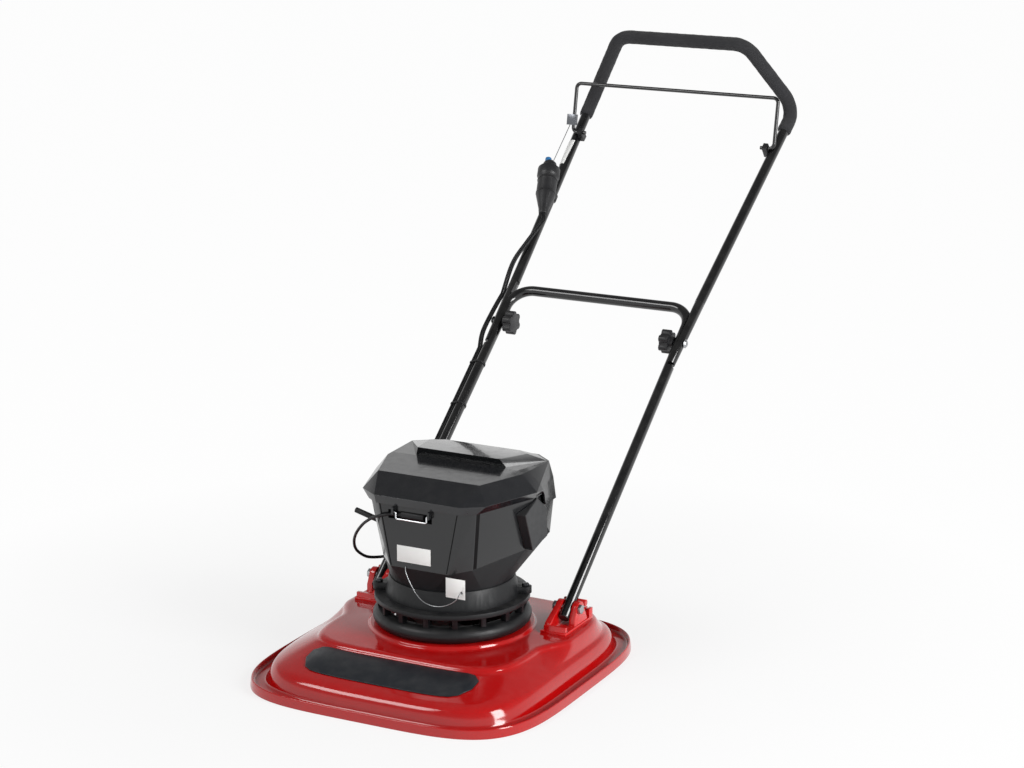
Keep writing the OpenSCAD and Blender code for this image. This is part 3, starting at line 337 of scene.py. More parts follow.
# %% Paths
def smooth_curve(points, steps):
    """Catmull-Rom through the points, as the solid model's cords."""
    p = [Vector(q) for q in points]
    out = []
    for k in range(len(p) - 1):
        a, b, c, d = p[max(k - 1, 0)], p[k], p[k + 1], p[min(k + 2, len(p) - 1)]
        for j in range(steps):
            u = j/steps
            out.append(0.5*(2*b + (c - a)*u + (2*a - 5*b + 4*c - d)*u**2 + (3*b - a - 3*c + d)*u**3))
    return out + [p[-1]]


def bent_path(points, bend, steps=10):
    p = [Vector(q) for q in points]
    out = [p[0]]
    for before, at, after in zip(p, p[1:], p[2:]):
        d1, d2 = (at - before).normalized(), (after - at).normalized()
        turn = d1.angle(d2)
        outward, onward = (d1 - d2).normalized(), (d1 + d2).normalized()
        middle = at - outward*bend/math.cos(turn/2)
        for j in range(steps + 1):
            angle = turn*(j/steps - 0.5)
            out.append(middle + bend*(outward*math.cos(angle) + onward*math.sin(angle)))
    return out + [p[-1]]


def run_length(points):
    return sum((b - a).length for a, b in zip(points, points[1:]))


def millimetres(points, lift=0.0):
    return [Vector((x, y, z + lift))/1000 for x, y, z in points]


def dressed(piece, body, *nodes, slot=None):
    """Puts a finished piece on its body in place of the solids it stands for."""
    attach(piece, body)
    if nodes:
        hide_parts(*nodes)
    return piece


print("a right angle with bend 0.5 is", round(run_length(bent_path(
    [(0, 0, 0), (1, 0, 0), (1, 1, 0)], 0.5)), 3), "long instead of 2")

# %% [markdown]
# Two cords hang free. The lead leaves the plug at the front, swings out to the left and goes back into
# a gland under the cowl. The tag's thin wire leaves the front panel and ends twisted through the tag.
# Both repeat the solid model's own points, so that they lie exactly where the solids are. Their heights
# are counted from the recess that holds the plug and from the top of the motor's neck.

# %% Cords
RECESS_Z = 294
NECK_TOP = 166
LEAD_RADIUS = 0.0027
WIRE_RADIUS = 0.0008
LEAD_POINTS = millimetres([
    (-43.2, -117, 8), (-48, -118.5, 8), (-56, -124, 7.5), (-66, -128, 5.5), (-80, -127, 1),
    (-95, -120, -6.5), (-122, -105, -26), (-146.5, -88, -52), (-164, -66, -78), (-170, -46, -100),
    (-163, -24, -117), (-147, -5, -121), (-131, 6, -118), (-121, 11, -116)], RECESS_Z)
loop_lead = tube("loop_lead", smooth_curve(LEAD_POINTS, 8), LEAD_RADIUS, CABLE_RUBBER, 16)
dressed(loop_lead, "deck", "loop_cable", slot="cable_rubber")

WIRE_POINTS = millimetres([
    (-26, -122.9, 43), (-24.5, -123.6, 31), (-13, -123.5, 8), (0, -123.5, -9), (14, -123.5, -18),
    (32, -123.5, -21), (52, -124, -17), (70, -125, -7), (80, -125.5, 4), (84, -124.5, 11),
    (84, -118.5, 11)], NECK_TOP)
tag_tie = tube("tag_tie", smooth_curve(WIRE_POINTS, 6), WIRE_RADIUS, STEEL, 10)
dressed(tag_tie, "deck", "tag_wire", slot="steel")

# %% [markdown]
# The studio is a white sweep. Its walls glow near the floor and fall off upwards, which is what draws
# the light and dark facets on black plastic. The camera sees the backdrop as pure white. Light Path
# tells these rays apart, so a white picture needs no extra light on the mower.

# %% World
SWEEP = ((0.06, 1.0), (0.27, 0.95), (0.42, 0.36), (0.75, 0.22))
SWEEP_STRENGTH = 0.9


def camera_share(nodes, links, amount, mirrored=0.0):
    """A fraction for camera rays, another for mirror reflections and nothing for all others."""
    ray = nodes.new("ShaderNodeLightPath")
    seen = nodes.new("ShaderNodeMath")
    seen.operation = "MULTIPLY"
    if isinstance(amount, float):
        seen.inputs[1].default_value = amount
    else:
        links.new(amount, seen.inputs[1])
    links.new(ray.outputs["Is Camera Ray"], seen.inputs[0])
    both = nodes.new("ShaderNodeMath")
    both.operation = "MULTIPLY_ADD"
    both.inputs[1].default_value = mirrored
    links.new(ray.outputs["Is Glossy Ray"], both.inputs[0])
    links.new(seen.outputs["Value"], both.inputs[2])
    return both.outputs["Value"]


def grey(level):
    return (level, level, level, 1)


world = bpy.data.worlds.new("studio")
world.use_nodes = True
bpy.context.scene.world = world
w_nodes, w_links = world.node_tree.nodes, world.node_tree.links
height = w_nodes.new("ShaderNodeSeparateXYZ")
w_links.new(w_nodes.new("ShaderNodeTexCoord").outputs["Generated"], height.inputs["Vector"])
sweep = w_nodes.new("ShaderNodeValToRGB")
stops = sweep.color_ramp.elements
for i, (position, level) in enumerate((SWEEP[0], SWEEP[-1])):
    stops[i].position = position
    stops[i].color = grey(level)
for position, level in SWEEP[1:-1]:
    stops.new(position).color = grey(level)
w_links.new(height.outputs["Z"], sweep.inputs["Fac"])
dim = w_nodes["Background"]
w_links.new(sweep.outputs["Color"], dim.inputs["Color"])
dim.inputs["Strength"].default_value = SWEEP_STRENGTH
white = w_nodes.new("ShaderNodeBackground")
white.inputs["Color"].default_value = grey(1)
white.inputs["Strength"].default_value = 1.0
either = w_nodes.new("ShaderNodeMixShader")
w_links.new(camera_share(w_nodes, w_links, 1.0), either.inputs["Fac"])
w_links.new(dim.outputs["Background"], either.inputs[1])
w_links.new(white.outputs["Background"], either.inputs[2])
w_links.new(either.outputs["Shader"], w_nodes["World Output"].inputs["Surface"])
print("world glows", SWEEP_STRENGTH, "at the floor and", round(SWEEP_STRENGTH*SWEEP[-1][1], 2), "overhead")

# %% [markdown]
# The floor is plain and pale. It is mixed with an even white for the camera and for reflections. Close to
# the mower the camera gets less of that white, so the soft shadow that grounds the deck stays visible.

# %% Floor
FLOOR_HALF = 20
FLOOR_Z = -0.0005
FLOOR_MIRRORED = 0.8
WHITE_BY_DISTANCE = {"From Min": 0.35, "From Max": 1.2, "To Min": 0.76, "To Max": 0.97}
floor_paint = bpy.data.materials.new("floor_white")
floor_paint.use_nodes = True
f_nodes, f_links = floor_paint.node_tree.nodes, floor_paint.node_tree.links
matt = f_nodes["Principled BSDF"]
matt.inputs["Base Color"].default_value = grey(0.86)
matt.inputs["Roughness"].default_value = 0.9
matt.inputs["Specular IOR Level"].default_value = 0.1
glow = f_nodes.new("ShaderNodeEmission")
glow.inputs["Strength"].default_value = 1.0
lit = f_nodes.new("ShaderNodeMixShader")
distance = f_nodes.new("ShaderNodeVectorMath")
distance.operation = "LENGTH"
f_links.new(f_nodes.new("ShaderNodeNewGeometry").outputs["Position"], distance.inputs[0])
fade = f_nodes.new("ShaderNodeMapRange")
for label, number in WHITE_BY_DISTANCE.items():
    fade.inputs[label].default_value = number
f_links.new(distance.outputs["Value"], fade.inputs["Value"])
f_links.new(camera_share(f_nodes, f_links, fade.outputs["Result"], FLOOR_MIRRORED), lit.inputs["Fac"])
f_links.new(matt.outputs["BSDF"], lit.inputs[1])
f_links.new(glow.outputs["Emission"], lit.inputs[2])
f_links.new(lit.outputs["Shader"], f_nodes["Material Output"].inputs["Surface"])
floor_mesh = bpy.data.meshes.new("floor")
corners = [(x*FLOOR_HALF, y*FLOOR_HALF, FLOOR_Z) for x, y in ((-1, -1), (1, -1), (1, 1), (-1, 1))]
floor_mesh.from_pydata(corners, [], [(0, 1, 2, 3)])
floor_mesh.materials.append(floor_paint)
shown("floor", floor_mesh)
print("floor", 2*FLOOR_HALF, "m wide")

# %% [markdown]
# A large soft lamp stands at each side, as a product photographer would place them. The lamps and the world
# together light a grey card about as it is written, and the camera doesn't see the lamps themselves.

# %% Lamps
def lamp(name, place, aim, size, watts):
    data = bpy.data.lights.new(name, "AREA")
    data.shape = "RECTANGLE"
    data.size, data.size_y = size
    data.energy = watts
    light = bpy.data.objects.new(name, data)
    light.location = place
    light.visible_camera = False
    light.rotation_euler = (Vector(aim) - Vector(place)).to_track_quat("-Z", "Y").to_euler()
    bpy.context.scene.collection.objects.link(light)


lamp("key_softbox", place=(-2.2, -2.6, 3.4), aim=(0, 0.2, 0.3), size=(2.4, 1.6), watts=75)
lamp("right_strip", place=(3.3, -0.5, 1.6), aim=(0, 0.1, 0.35), size=(1.2, 2.2), watts=115)
bpy.context.scene.view_settings.view_transform = "Standard"

# %% [markdown]
# Mouldings are skinned from rings of points. A loft joins one ring to the next, and a helper rounds the
# corners of a section first, because the small radii are what makes moulded plastic shine.

# %% Lofts and rounded sections
WELD = 1e-6


def loft(name, rings, material, closed=False, sharp=40):
    """Skins a list of rings of equal length. A closed loft joins the last ring to the first."""
    n, m = len(rings[0]), len(rings)
    faces = []
    for i in range(m if closed else m - 1):
        for k in range(n):
            a, b = i*n + k, i*n + (k + 1) % n
            c, d = (i + 1) % m*n + k, (i + 1) % m*n + (k + 1) % n
            faces.append((a, b, d, c))
    if not closed:
        faces += [tuple(range(n))[::-1], tuple(range((m - 1)*n, m*n))]
    mesh = bpy.data.meshes.new(name)
    mesh.from_pydata([tuple(p) for ring in rings for p in ring], [], faces)
    return tidied(name, mesh, material, sharp)


def tidied(name, mesh, material, sharp):
    """Merges doubles, points the faces outwards and shades the mesh smooth up to an angle."""
    work = bmesh.new()
    work.from_mesh(mesh)
    bmesh.ops.remove_doubles(work, verts=work.verts, dist=WELD)
    bmesh.ops.recalc_face_normals(work, faces=work.faces)
    work.to_mesh(mesh)
    work.free()
    mesh.polygons.foreach_set("use_smooth", [True]*len(mesh.polygons))
    mesh.set_sharp_from_angle(angle=math.radians(sharp))
    mesh.materials.clear()
    mesh.materials.append(material)
    return shown(name, mesh)


def rounded(points, radii, steps=4, most=0.45):
    """A run of points with each inner corner replaced by a short curve, within a share of each side."""
    out = [points[0]]
    for before, at, after, r in zip(points, points[1:], points[2:], radii):
        start = at + (before - at).normalized()*min(r, most*(before - at).length)
        end = at + (after - at).normalized()*min(r, most*(after - at).length)
        for j in range(steps + 1):
            u = j/steps
            out.append(start*(1 - u)**2 + at*2*u*(1 - u) + end*u**2)
    return out + [points[-1]]


print("points are welded within", WELD, "m")

# %% [markdown]
# The hood is one moulding. Its outline is a rounded square that follows a simple rule, and the section
# climbs from an upturned lip through a channel, an upright wall and a long slope to a flat platform with a
# collar for the motor. Sizes are the solid model's, in millimetres. The skin has four times its facets.

# %% Hood
HOOD_SIDES = 288
DECK_W = 570
DECK_L = 615
DECK_AHEAD = 32
DECK_SQUARE = 4.3
DECK_H = 72
DECK_T = 4
LIP_H = 17
LIP_T = 5
CHANNEL_T = 6
WALL_IN = 25
WALL_H = 25
SHOULDER_IN = 45
SHOULDER_H = 39
SIDE_RISE = 6
SLOPE_SHARE = 0.16
SLOPE_RISE = 4
PLATFORM_W = 400
PLATFORM_L = 386
PLATFORM_Y = -4
PLATFORM_SQUARE = 5
FLARE = 0.15
FLARE_FROM_Y = -60
FLARE_RUN = 80
COLLAR_R = 148
COLLAR_H = 78
BORE_R = 118
TOP_RADII = [v/1000 for v in (2, 3, 2, 2, 5, 6, 8, 8, 8, 30, 8, 5, 6, 2, 2)]
UNDER_RADII = [v/1000 for v in (2, 5, 5, 8, 30, 8, 8, 8)]


def rounded_square(t, a, b, n, y, z, rise=0.0):
    c, s = math.cos(t), math.sin(t)
    r = (abs(c/a)**n + abs(s/b)**n)**(-1/n)
    return Vector((r*c, y + r*s, z + rise*c*c))/1000


def lip_line(t, inset, z, rise=0.0):
    return rounded_square(t, DECK_W/2 - inset, DECK_L/2 - inset, DECK_SQUARE, -DECK_AHEAD, z, rise)


def platform_line(t, grow, z):
    p = rounded_square(t, PLATFORM_W/2 + grow, PLATFORM_L/2 + grow, PLATFORM_SQUARE, PLATFORM_Y, z)
    k = min(max((1000*p.y - FLARE_FROM_Y)/FLARE_RUN, 0), 1)
    p.x *= 1 + FLARE*k*k*(3 - 2*k)
    return p


def slope_line(t, inset, z):
    low, high = lip_line(t, inset, z, SIDE_RISE), platform_line(t, 0, 0)
    x, y = low.x + SLOPE_SHARE*(high.x - low.x), low.y + SLOPE_SHARE*(high.y - low.y)
    return Vector((x, y, low.z + SLOPE_RISE/1000))


def circle_line(t, r, z):
    return Vector((r*math.cos(t), r*math.sin(t), z))/1000


def hood_section(t):
    """One section of the skin, from the foot of the lip over the top and back underneath."""
    lip = [lip_line(t, 0, 0), lip_line(t, 0, 4), lip_line(t, 1.5, LIP_H - 1.5), lip_line(t, 3, LIP_H),
           lip_line(t, LIP_T - 0.5, LIP_H - 1)]
    channel = [lip_line(t, LIP_T, CHANNEL_T), lip_line(t, WALL_IN, CHANNEL_T)]
    wall = [lip_line(t, WALL_IN + 5, WALL_H, SIDE_RISE/2),
            lip_line(t, SHOULDER_IN - 9, SHOULDER_H - 5, SIDE_RISE),
            lip_line(t, SHOULDER_IN, SHOULDER_H, SIDE_RISE), slope_line(t, SHOULDER_IN, SHOULDER_H)]
    platform = [platform_line(t, 3, DECK_H - 9), platform_line(t, 0, DECK_H - 3),
                platform_line(t, -6, DECK_H)]
    collar = [circle_line(t, COLLAR_R + 3, DECK_H), circle_line(t, COLLAR_R, COLLAR_H),
              circle_line(t, BORE_R, COLLAR_H)]
    below = DECK_H - DECK_T
    under = [circle_line(t, BORE_R, below), circle_line(t, COLLAR_R, below), platform_line(t, -8, below),
             platform_line(t, -3, below - 3), platform_line(t, 0, below - 9),
             slope_line(t, SHOULDER_IN + 2, SHOULDER_H - DECK_T),
             lip_line(t, SHOULDER_IN + 2, SHOULDER_H - DECK_T, SIDE_RISE),
             lip_line(t, SHOULDER_IN - 5, SHOULDER_H - 9, SIDE_RISE),
             lip_line(t, WALL_IN + 9, WALL_H - 2, SIDE_RISE/2), lip_line(t, WALL_IN + DECK_T, 0)]
    return rounded(lip + channel + wall + platform + collar, TOP_RADII) + rounded(under, UNDER_RADII)


hood_sections = [hood_section(2*math.pi*i/HOOD_SIDES) for i in range(HOOD_SIDES)]
hood = loft("hood", [list(ring) for ring in zip(*hood_sections)], HOOD_RED, closed=True)
dressed(hood, "deck", "deck_shell", slot="deck_red")
print("hood faces", len(hood.data.polygons))

# %% [markdown]
# The rest of the rigid pieces already have the right shape, but a computed solid has knife edges.
# Real mouldings and pressings have small radii that catch the light. So a copy of each node's mesh is
# merged, its flat faces are joined, and a Bevel modifier rounds the edges by a width that suits it.

# %% Softening one solid
SOLID_WELD = 2e-6
SAME_PLANE = 0.6
BEVEL_STEPS = 2
ROUND_ANGLE = 30
FACET_ANGLE = 9


def softened(node, material, width, slot, angle):
    """A copy of a node with its edges rounded (mm), smooth up to about the angle that is rounded."""
    mesh = frame["nodes"][node].data.copy()
    mesh.name = node + "_soft"
    work = bmesh.new()
    work.from_mesh(mesh)
    bmesh.ops.remove_doubles(work, verts=work.verts, dist=SOLID_WELD)
    flat = math.radians(SAME_PLANE)
    bmesh.ops.dissolve_limit(work, angle_limit=flat, verts=work.verts, edges=work.edges)
    work.to_mesh(mesh)
    work.free()
    rough_cut = shown(node + "_soft", mesh)
    bevel = rough_cut.modifiers.new("edge", "BEVEL")
    bevel.width = width/1000
    bevel.segments = BEVEL_STEPS
    bevel.limit_method = "ANGLE"
    bevel.angle_limit = math.radians(angle)
    bpy.context.view_layer.update()
    done = bpy.data.meshes.new_from_object(rough_cut.evaluated_get(bpy.context.evaluated_depsgraph_get()))
    bpy.data.objects.remove(rough_cut)
    piece = tidied(node + "_soft", done, material, angle + 2)
    return dressed(piece, body_of(frame["nodes"][node])[0], node, slot=slot)


print("edges over", ROUND_ANGLE, "degrees are rounded, on faceted mouldings over", FACET_ANGLE)

# %% [markdown]
# This table gives each solid its finish, the width of its rounded edges in millimetres and its slot. The
# head's mouldings have facets that meet at shallow angles, so a smaller angle keeps each of them flat.

# %% Softened solids
SOFTENED = {
    "front_plate": (PLATE_SLATE, 0.5, "plate_dark"), "left_bracket": (BRACKET_RED, 1.2, "deck_red"),
    "right_bracket": (BRACKET_RED, 1.2, "deck_red"), "bracket_screws": (DARK_STEEL, 0.5, "steel"),
    "pivot_bolts": (STEEL, 0.6, "steel"), "base_ring": (RING_BLACK, 1.0, "ring_black"),
    "intake_cage": (RING_BLACK, 1.2, "ring_black"), "motor_mount": (MOUNT_CAST, 1.2, "cast_dark"),
    "mount_bolts": (DARK_STEEL, 0.5, "steel"), "bearings": (STEEL, 0.4, "steel"),
    "stator": (COPPER, 0.5, "copper"),
    "under_cowl": (UNDER_BLACK, 1.0, "cowl_black"), "lower_cowl": (COWL_BLACK, 1.6, "cowl_black"),
    "front_cover": (COVER_BLACK, 2.2, "lid_black"), "battery_lid": (LID_BLACK, 2.2, "lid_black"),
    "left_side_cover": (SIDE_BLACK, 2.0, "cowl_black"), "right_side_cover": (SIDE_BLACK, 2.0, "cowl_black"),
    "lid_hinge_pins": (STEEL, 0.4, "steel"), "control_board": (BOARD_GREEN, 0.3, "board_green"),
    "heat_sink": (SINK_METAL, 0.4, "sink"), "battery": (BATTERY_GREY, 2.0, "cowl_black"),
    "front_plug": (CABLE_RUBBER, 0.8, "cable_rubber"), "cable_glands": (CABLE_RUBBER, 0.8, "cable_rubber"),
    "side_plug": (CABLE_RUBBER, 0.8, "cable_rubber"), "blank_label": (BLANK_WHITE, 0.15, "blank_white"),
    "blank_tag": (BLANK_WHITE, 0.2, "blank_white"), "shaft": (STEEL, 0.4, "steel"),
    "rotor": (SINK_METAL, 0.6, "steel"),
    "impeller": (RING_BLACK, 0.8, "ring_black"), "blade_spacer": (STEEL, 0.6, "steel"),
    "cutter_blade": (BLADE_STEEL, 0.4, "steel"), "blade_washer": (STEEL, 0.5, "steel"),
    "blade_bolt": (STEEL, 0.6, "steel"), "plug_clip": (BRIGHT_WIRE, 0.2, "bright"),
    "lower_tube": (TUBE_ENAMEL, 0.4, "tube_black"), "leg_plugs": (KNOB_BLACK, 0.5, "tube_black"),
    "clamp_bolts": (STEEL, 0.5, "steel"), "cable_ties": (CABLE_RUBBER, 0.25, "cable_rubber"),
    "lap_ends": (TUBE_ENAMEL, 0.5, "tube_black"), "bail_saddles": (KNOB_BLACK, 0.8, "tube_black"),
    "tube_sleeve": (BLANK_WHITE, 0.15, "blank_white"), "switch_body": (KNOB_BLACK, 0.8, "knob_dark"),
    "switch_cap": (KNOB_BLACK, 0.8, "knob_dark"), "switch_clamp": (KNOB_BLACK, 0.6, "tube_black"),
    "cable_yoke": (BAIL_GREY, 0.8, "bail_grey"), "left_knob": (KNOB_BLACK, 1.4, "knob_dark"),
    "right_knob": (KNOB_BLACK, 1.4, "knob_dark"), "start_button": (BUTTON_BLUE, 1.0, "button_blue"),
}
FACETED = {
    "under_cowl", "lower_cowl", "front_cover", "battery_lid", "left_side_cover", "right_side_cover"}
soft = {node: softened(node, mat, width, slot, FACET_ANGLE if node in FACETED else ROUND_ANGLE)
        for node, (mat, width, slot) in SOFTENED.items()}
print("softened", len(soft), "nodes,", sum(len(o.data.polygons) for o in soft.values()), "faces")

# %% [markdown]
# The handle is bent from steel tube in two parts. The lower frame keeps its solid's shape. The upper loop
# is swept again with a round section, because its solid has flat facets. Its corners turn in space.
# The handle's own frame leans back, so points are given across it, along the leg and square to it. They
# are in millimetres, and the radii of what is swept are in metres.

# %% Handle frames and the upper tube
PIVOT_Y = 80
PIVOT_Z = 105
LEAN = 38.9
UPPER_LEAN = 37.7
CLAMP_S = 609
FOOT_X = 193
FOOT_T = -52
KNEE = (224, 625, 0)
CROWN = (140, 656, 143)
TUBE_FROM = 101
TUBE_R = 0.010
TUBE_BEND = 0.045


def leaned(origin, degrees):
    """A frame in the handle's plane, from mm across, along and square to the leg to metres in space."""
    c, s = math.cos(math.radians(degrees)), math.sin(math.radians(degrees))
    return lambda x, along, square: Vector(
        (x, origin[0] + along*c - square*s, origin[1] + along*s + square*c))/1000


on_lower = leaned((PIVOT_Y, PIVOT_Z), LEAN)
clamp = on_lower(0, CLAMP_S, 0)*1000
on_upper = leaned((clamp.y, clamp.z), UPPER_LEAN)
SPLAY = (KNEE[0] - FOOT_X)/(KNEE[1] - FOOT_T)


def upper_x(t):
    return FOOT_X + SPLAY*(t - FOOT_T)


def loop_path(start):
    right = [(upper_x(start), start, 0), KNEE, CROWN]
    left = [(-x, t, n) for x, t, n in reversed(right)]
    return bent_path([on_upper(*p) for p in right + left], TUBE_BEND, 12)


upper_loop = tube("upper_loop", loop_path(TUBE_FROM), TUBE_R, TUBE_ENAMEL, 32)
dressed(upper_loop, "upper_handle", "upper_tube", slot="tube_black")
print("upper tube", round(run_length(loop_path(TUBE_FROM)), 3), "m")

# %% [markdown]
# The grip is a foam sleeve pushed over the loop. Foam is matt, slightly lumpy and rounds over at its ends.
# It is swept as rings whose radius wanders by a fraction of a millimetre and tapers at the ends.

# %% Foam grip
FOAM_FROM = 559
FOAM_R = 0.0138
FOAM_RINGS = 260
FOAM_END = 0.0028
END_RINGS = 2.0


def swept(name, path, radii, material, sides=32, sharp=60):
    """Rings along a path, each with its own radius, closed at both ends."""
    rings, side = [], None
    for i, at in enumerate(path):
        ahead = (path[min(i + 1, len(path) - 1)] - path[max(i - 1, 0)]).normalized()
        if side is None:
            side = ahead.orthogonal().normalized()
        side = (side - ahead*side.dot(ahead)).normalized()
        up = ahead.cross(side)
        rings.append([at + radii[i]*(side*math.cos(a) + up*math.sin(a))
                      for a in (2*math.pi*k/sides for k in range(sides))])
    return loft(name, rings, material, sharp=sharp)


def resampled(points, count):
    """Points at equal steps along a run."""
    total, out, walked, i = run_length(points), [], 0.0, 0
    for k in range(count):
        want = total*k/(count - 1)
        while i < len(points) - 2 and walked + (points[i + 1] - points[i]).length < want:
            walked += (points[i + 1] - points[i]).length
            i += 1
        step = points[i + 1] - points[i]
        out.append(points[i] + step*min((want - walked)/step.length, 1.0))
    return out


foam_path = resampled(loop_path(FOAM_FROM), FOAM_RINGS)
foam_radii = []
for i in range(len(foam_path)):
    ends = min(i, len(foam_path) - 1 - i)
    lumps = 0.00012*math.sin(0.9*i) + 0.00010*math.sin(0.37*i + 1)
    foam_radii.append(FOAM_R + lumps - FOAM_END*max(0.0, 1 - ends/END_RINGS)**2)
foam = swept("foam_sleeve", foam_path, foam_radii, GRIP_FOAM, 40)
dressed(foam, "upper_handle", "foam_grip", slot="foam_dark")
print("foam", round(run_length(foam_path), 3), "m")

# %% [markdown]
# The bail is a bent wire loop that the hand squeezes against the grip. Each foot turns inwards and pivots
# in a saddle on the tube. The rod is swept on its own leaning frame, with the bends of bent wire.

# %% Bail
BAIL_T = 500
BAIL_N = 14.0
BAIL_UP = 75
BAIL_OUT = 67
BAIL_X = 223
BAIL_R = 0.00375
BAIL_BEND = 0.010
PIN_IN = 24
BAIL_L = math.hypot(BAIL_UP, BAIL_OUT)
bail_pivot = on_upper(0, BAIL_T, BAIL_N)*1000
on_bail = leaned((bail_pivot.y, bail_pivot.z), UPPER_LEAN + math.degrees(math.atan2(BAIL_OUT, BAIL_UP)))
pin = upper_x(BAIL_T) - PIN_IN
bail_right = [(BAIL_X, BAIL_L, 0), (BAIL_X, 0, 0), (pin, 0, 0)]
bail_left = [(-x, along, square) for x, along, square in reversed(bail_right)]
bail_path = bent_path([on_bail(*p) for p in bail_left + bail_right], BAIL_BEND, 10)
bail = tube("bail_wire", bail_path, BAIL_R, TUBE_ENAMEL, 20)
dressed(bail, "bail", "bail_rod", slot="bail_grey")
print("bail wire", round(run_length(bail_path), 3), "m")

# %% [markdown]
# Two thin cables run down the left legs, held by ties. They bend where the handle folds. So the stretch
# at the fold is a piece of its own that blends from one body to the other, and the long stretch below it
# simply rides on its leg.

# %% Cables on the legs
CABLE_R = 0.0024
CABLE_PITCH = 5.4
CABLE_X = -205.8
CABLE_LOW = 120
CABLE_TOP = CLAMP_S - 70
CABLE_GAP = 0.8


def cable_pair(name, points):
    """Two cables side by side through points given in the frames of the handle."""
    parts = []
    for i in (0, 1):
        run = smooth_curve([on(x - CABLE_PITCH*i, s, n) for on, x, s, n in points], 10)
        parts.append(tube(name + str(i), run, CABLE_R, CABLE_RUBBER, 14))
    return joined(name, parts)


def joined(name, parts):
    with bpy.context.temp_override(active_object=parts[0], selected_editable_objects=parts):
        bpy.ops.object.join()
    parts[0].name = name
    return parts[0]


leg_cables = cable_pair("leg_cables", [(on_lower, CABLE_X, s, 0) for s in (CABLE_LOW, 260, 400, CABLE_TOP)])
dressed(leg_cables, "lower_handle", "lower_cables", slot="cable_rubber")
fold = math.radians(UPPER_LEAN - LEAN)
bridge = CABLE_TOP - CLAMP_S
fold_points = [(on_upper, CABLE_X - 6, 70 - CABLE_GAP, 0), (on_upper, CABLE_X - 9, 24, 0),
               (on_upper, CABLE_X - 9, -30, 0),
               (on_upper, CABLE_X, bridge*math.cos(fold) + CABLE_GAP, -bridge*math.sin(fold))]
bridge_cables = cable_pair("bridge_cables", fold_points)
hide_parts("fold_cables")
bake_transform(bridge_cables, "upper_handle", "lower_handle",
         tuple(on_upper(CABLE_X, 40, 0)), tuple(on_upper(CABLE_X, -40, 0)))
print("cables on the leg", round(CABLE_TOP - CABLE_LOW), "mm")

# %% [markdown]
# The switch hangs in front of the left tube. Its cables leave it at the bottom and swing over to the leg.
# Their points are given in the upper handle's frame, because they ride on it from end to end.

# %% Cables at the switch
along_switch = Vector((-33, 131, 10)).normalized()
switch_low = Vector((-192.7, 260.4, 27.5))
out_of_switch = [switch_low + Vector((CABLE_PITCH/2, 0, 0)) - along_switch*k for k in (2*CABLE_GAP, 20)]
switch_cables = cable_pair("switch_cables", [(on_upper, *p) for p in out_of_switch] + [
    (on_upper, -199, 190, 22), (on_upper, -214, 140, 12), (on_upper, CABLE_X - 6, 70, 0)])
dressed(switch_cables, "upper_handle", "upper_cables", slot="cable_rubber")
print("switch axis", [round(v, 3) for v in along_switch])

# %% [markdown]
# A ridged sheath takes the cables from the leg into the head. The handle swings on the deck, so the sheath
# starts on one body and ends on the other. Its rings are thick and thin by turns, which gives the ridges.

# %% Sheath at the pivot
SHEATH_R = 0.0050
SHEATH_RIDGE = 0.0003
SHEATH_RINGS = 110
tail = on_lower(CABLE_X - CABLE_PITCH/2, CABLE_LOW, 0)*1000
gland = Vector((-146, 96, 250))
back = Vector((0, math.cos(math.radians(LEAN)), math.sin(math.radians(LEAN))))
tail_points = [tail - 2*CABLE_GAP*back, tail + Vector((-3, -21, -12)), tail + Vector((4, -43, -2)),
               gland + Vector((-44, 8, -19)), gland + Vector((-24, 0, 0)), gland - Vector((10.6, 0, 0))]
tail_run = resampled(smooth_curve([p/1000 for p in tail_points], 12), SHEATH_RINGS)
ridges = [SHEATH_R + (SHEATH_RIDGE if i % 2 else 0.0) for i in range(len(tail_run))]
tail_piece = swept("pivot_sheath", tail_run, ridges, CABLE_RUBBER, 20)
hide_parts("tail_sheath")
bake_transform(tail_piece, "lower_handle", "deck", tuple(tail_run[15]), tuple(tail_run[-15]))
print("sheath", round(run_length(tail_run), 3), "m")

# %% [markdown]
# A thin wire leads from the block on the bail's left arm to the top of the switch. It belongs to both
# bodies, so it blends between them, and it goes slack when the bail is pulled up to the grip.

# %% Pull wire
SWITCH_TALL = 135.3
YOKE_WIDE = 20
YOKE_FROM = 14
PULL_IN = 8
PULL_PARTS = 12
pull_x = -BAIL_X - YOKE_WIDE + 1000*BAIL_R + PULL_IN
pull_top = Vector((pull_x, BAIL_T + YOKE_FROM*BAIL_UP/BAIL_L, BAIL_N + YOKE_FROM*BAIL_OUT/BAIL_L))
pull_low = switch_low + along_switch*SWITCH_TALL + Vector((6, 6, 0))
pull_run = [on_upper(*(pull_top + (pull_low - pull_top)*k/PULL_PARTS)) for k in range(PULL_PARTS + 1)]
pull = tube("pull_strand", pull_run, WIRE_RADIUS, STEEL, 10)
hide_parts("pull_wire")
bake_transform(pull, "upper_handle", "bail", tuple(pull_run[-2]), tuple(pull_run[1]))
print("pull wire", round(run_length(pull_run), 3), "m")

# %% [markdown]
# On the cowl, thin dark strips are painted shade where the eye expects a groove: one on the side facet
# behind each front corner, and a fine line down each edge of the front panel. Both stand half a millimetre
# proud, between two edges worked out from the cowl's own corners.

# %% Painted shade strips on the cowl
STRIP_PARTS = 12
STRIP_END = 0.01
STRIP_PROUD = 0.0005
SIDE_LOW = ((89, -90.2, 209.6), (137, 23, 222.5))
SIDE_HIGH = ((104, -105, 319), (150, 25, 319))
SHADE_STRIP_SHARES = (0.02, 0.075)
PANEL_LOW = (56, -122, 206.4)
PANEL_HIGH = (78, -122, 319)
SHADE_LINE_W = 1.6


def between(a, b, k):
    return a + (b - a)*k


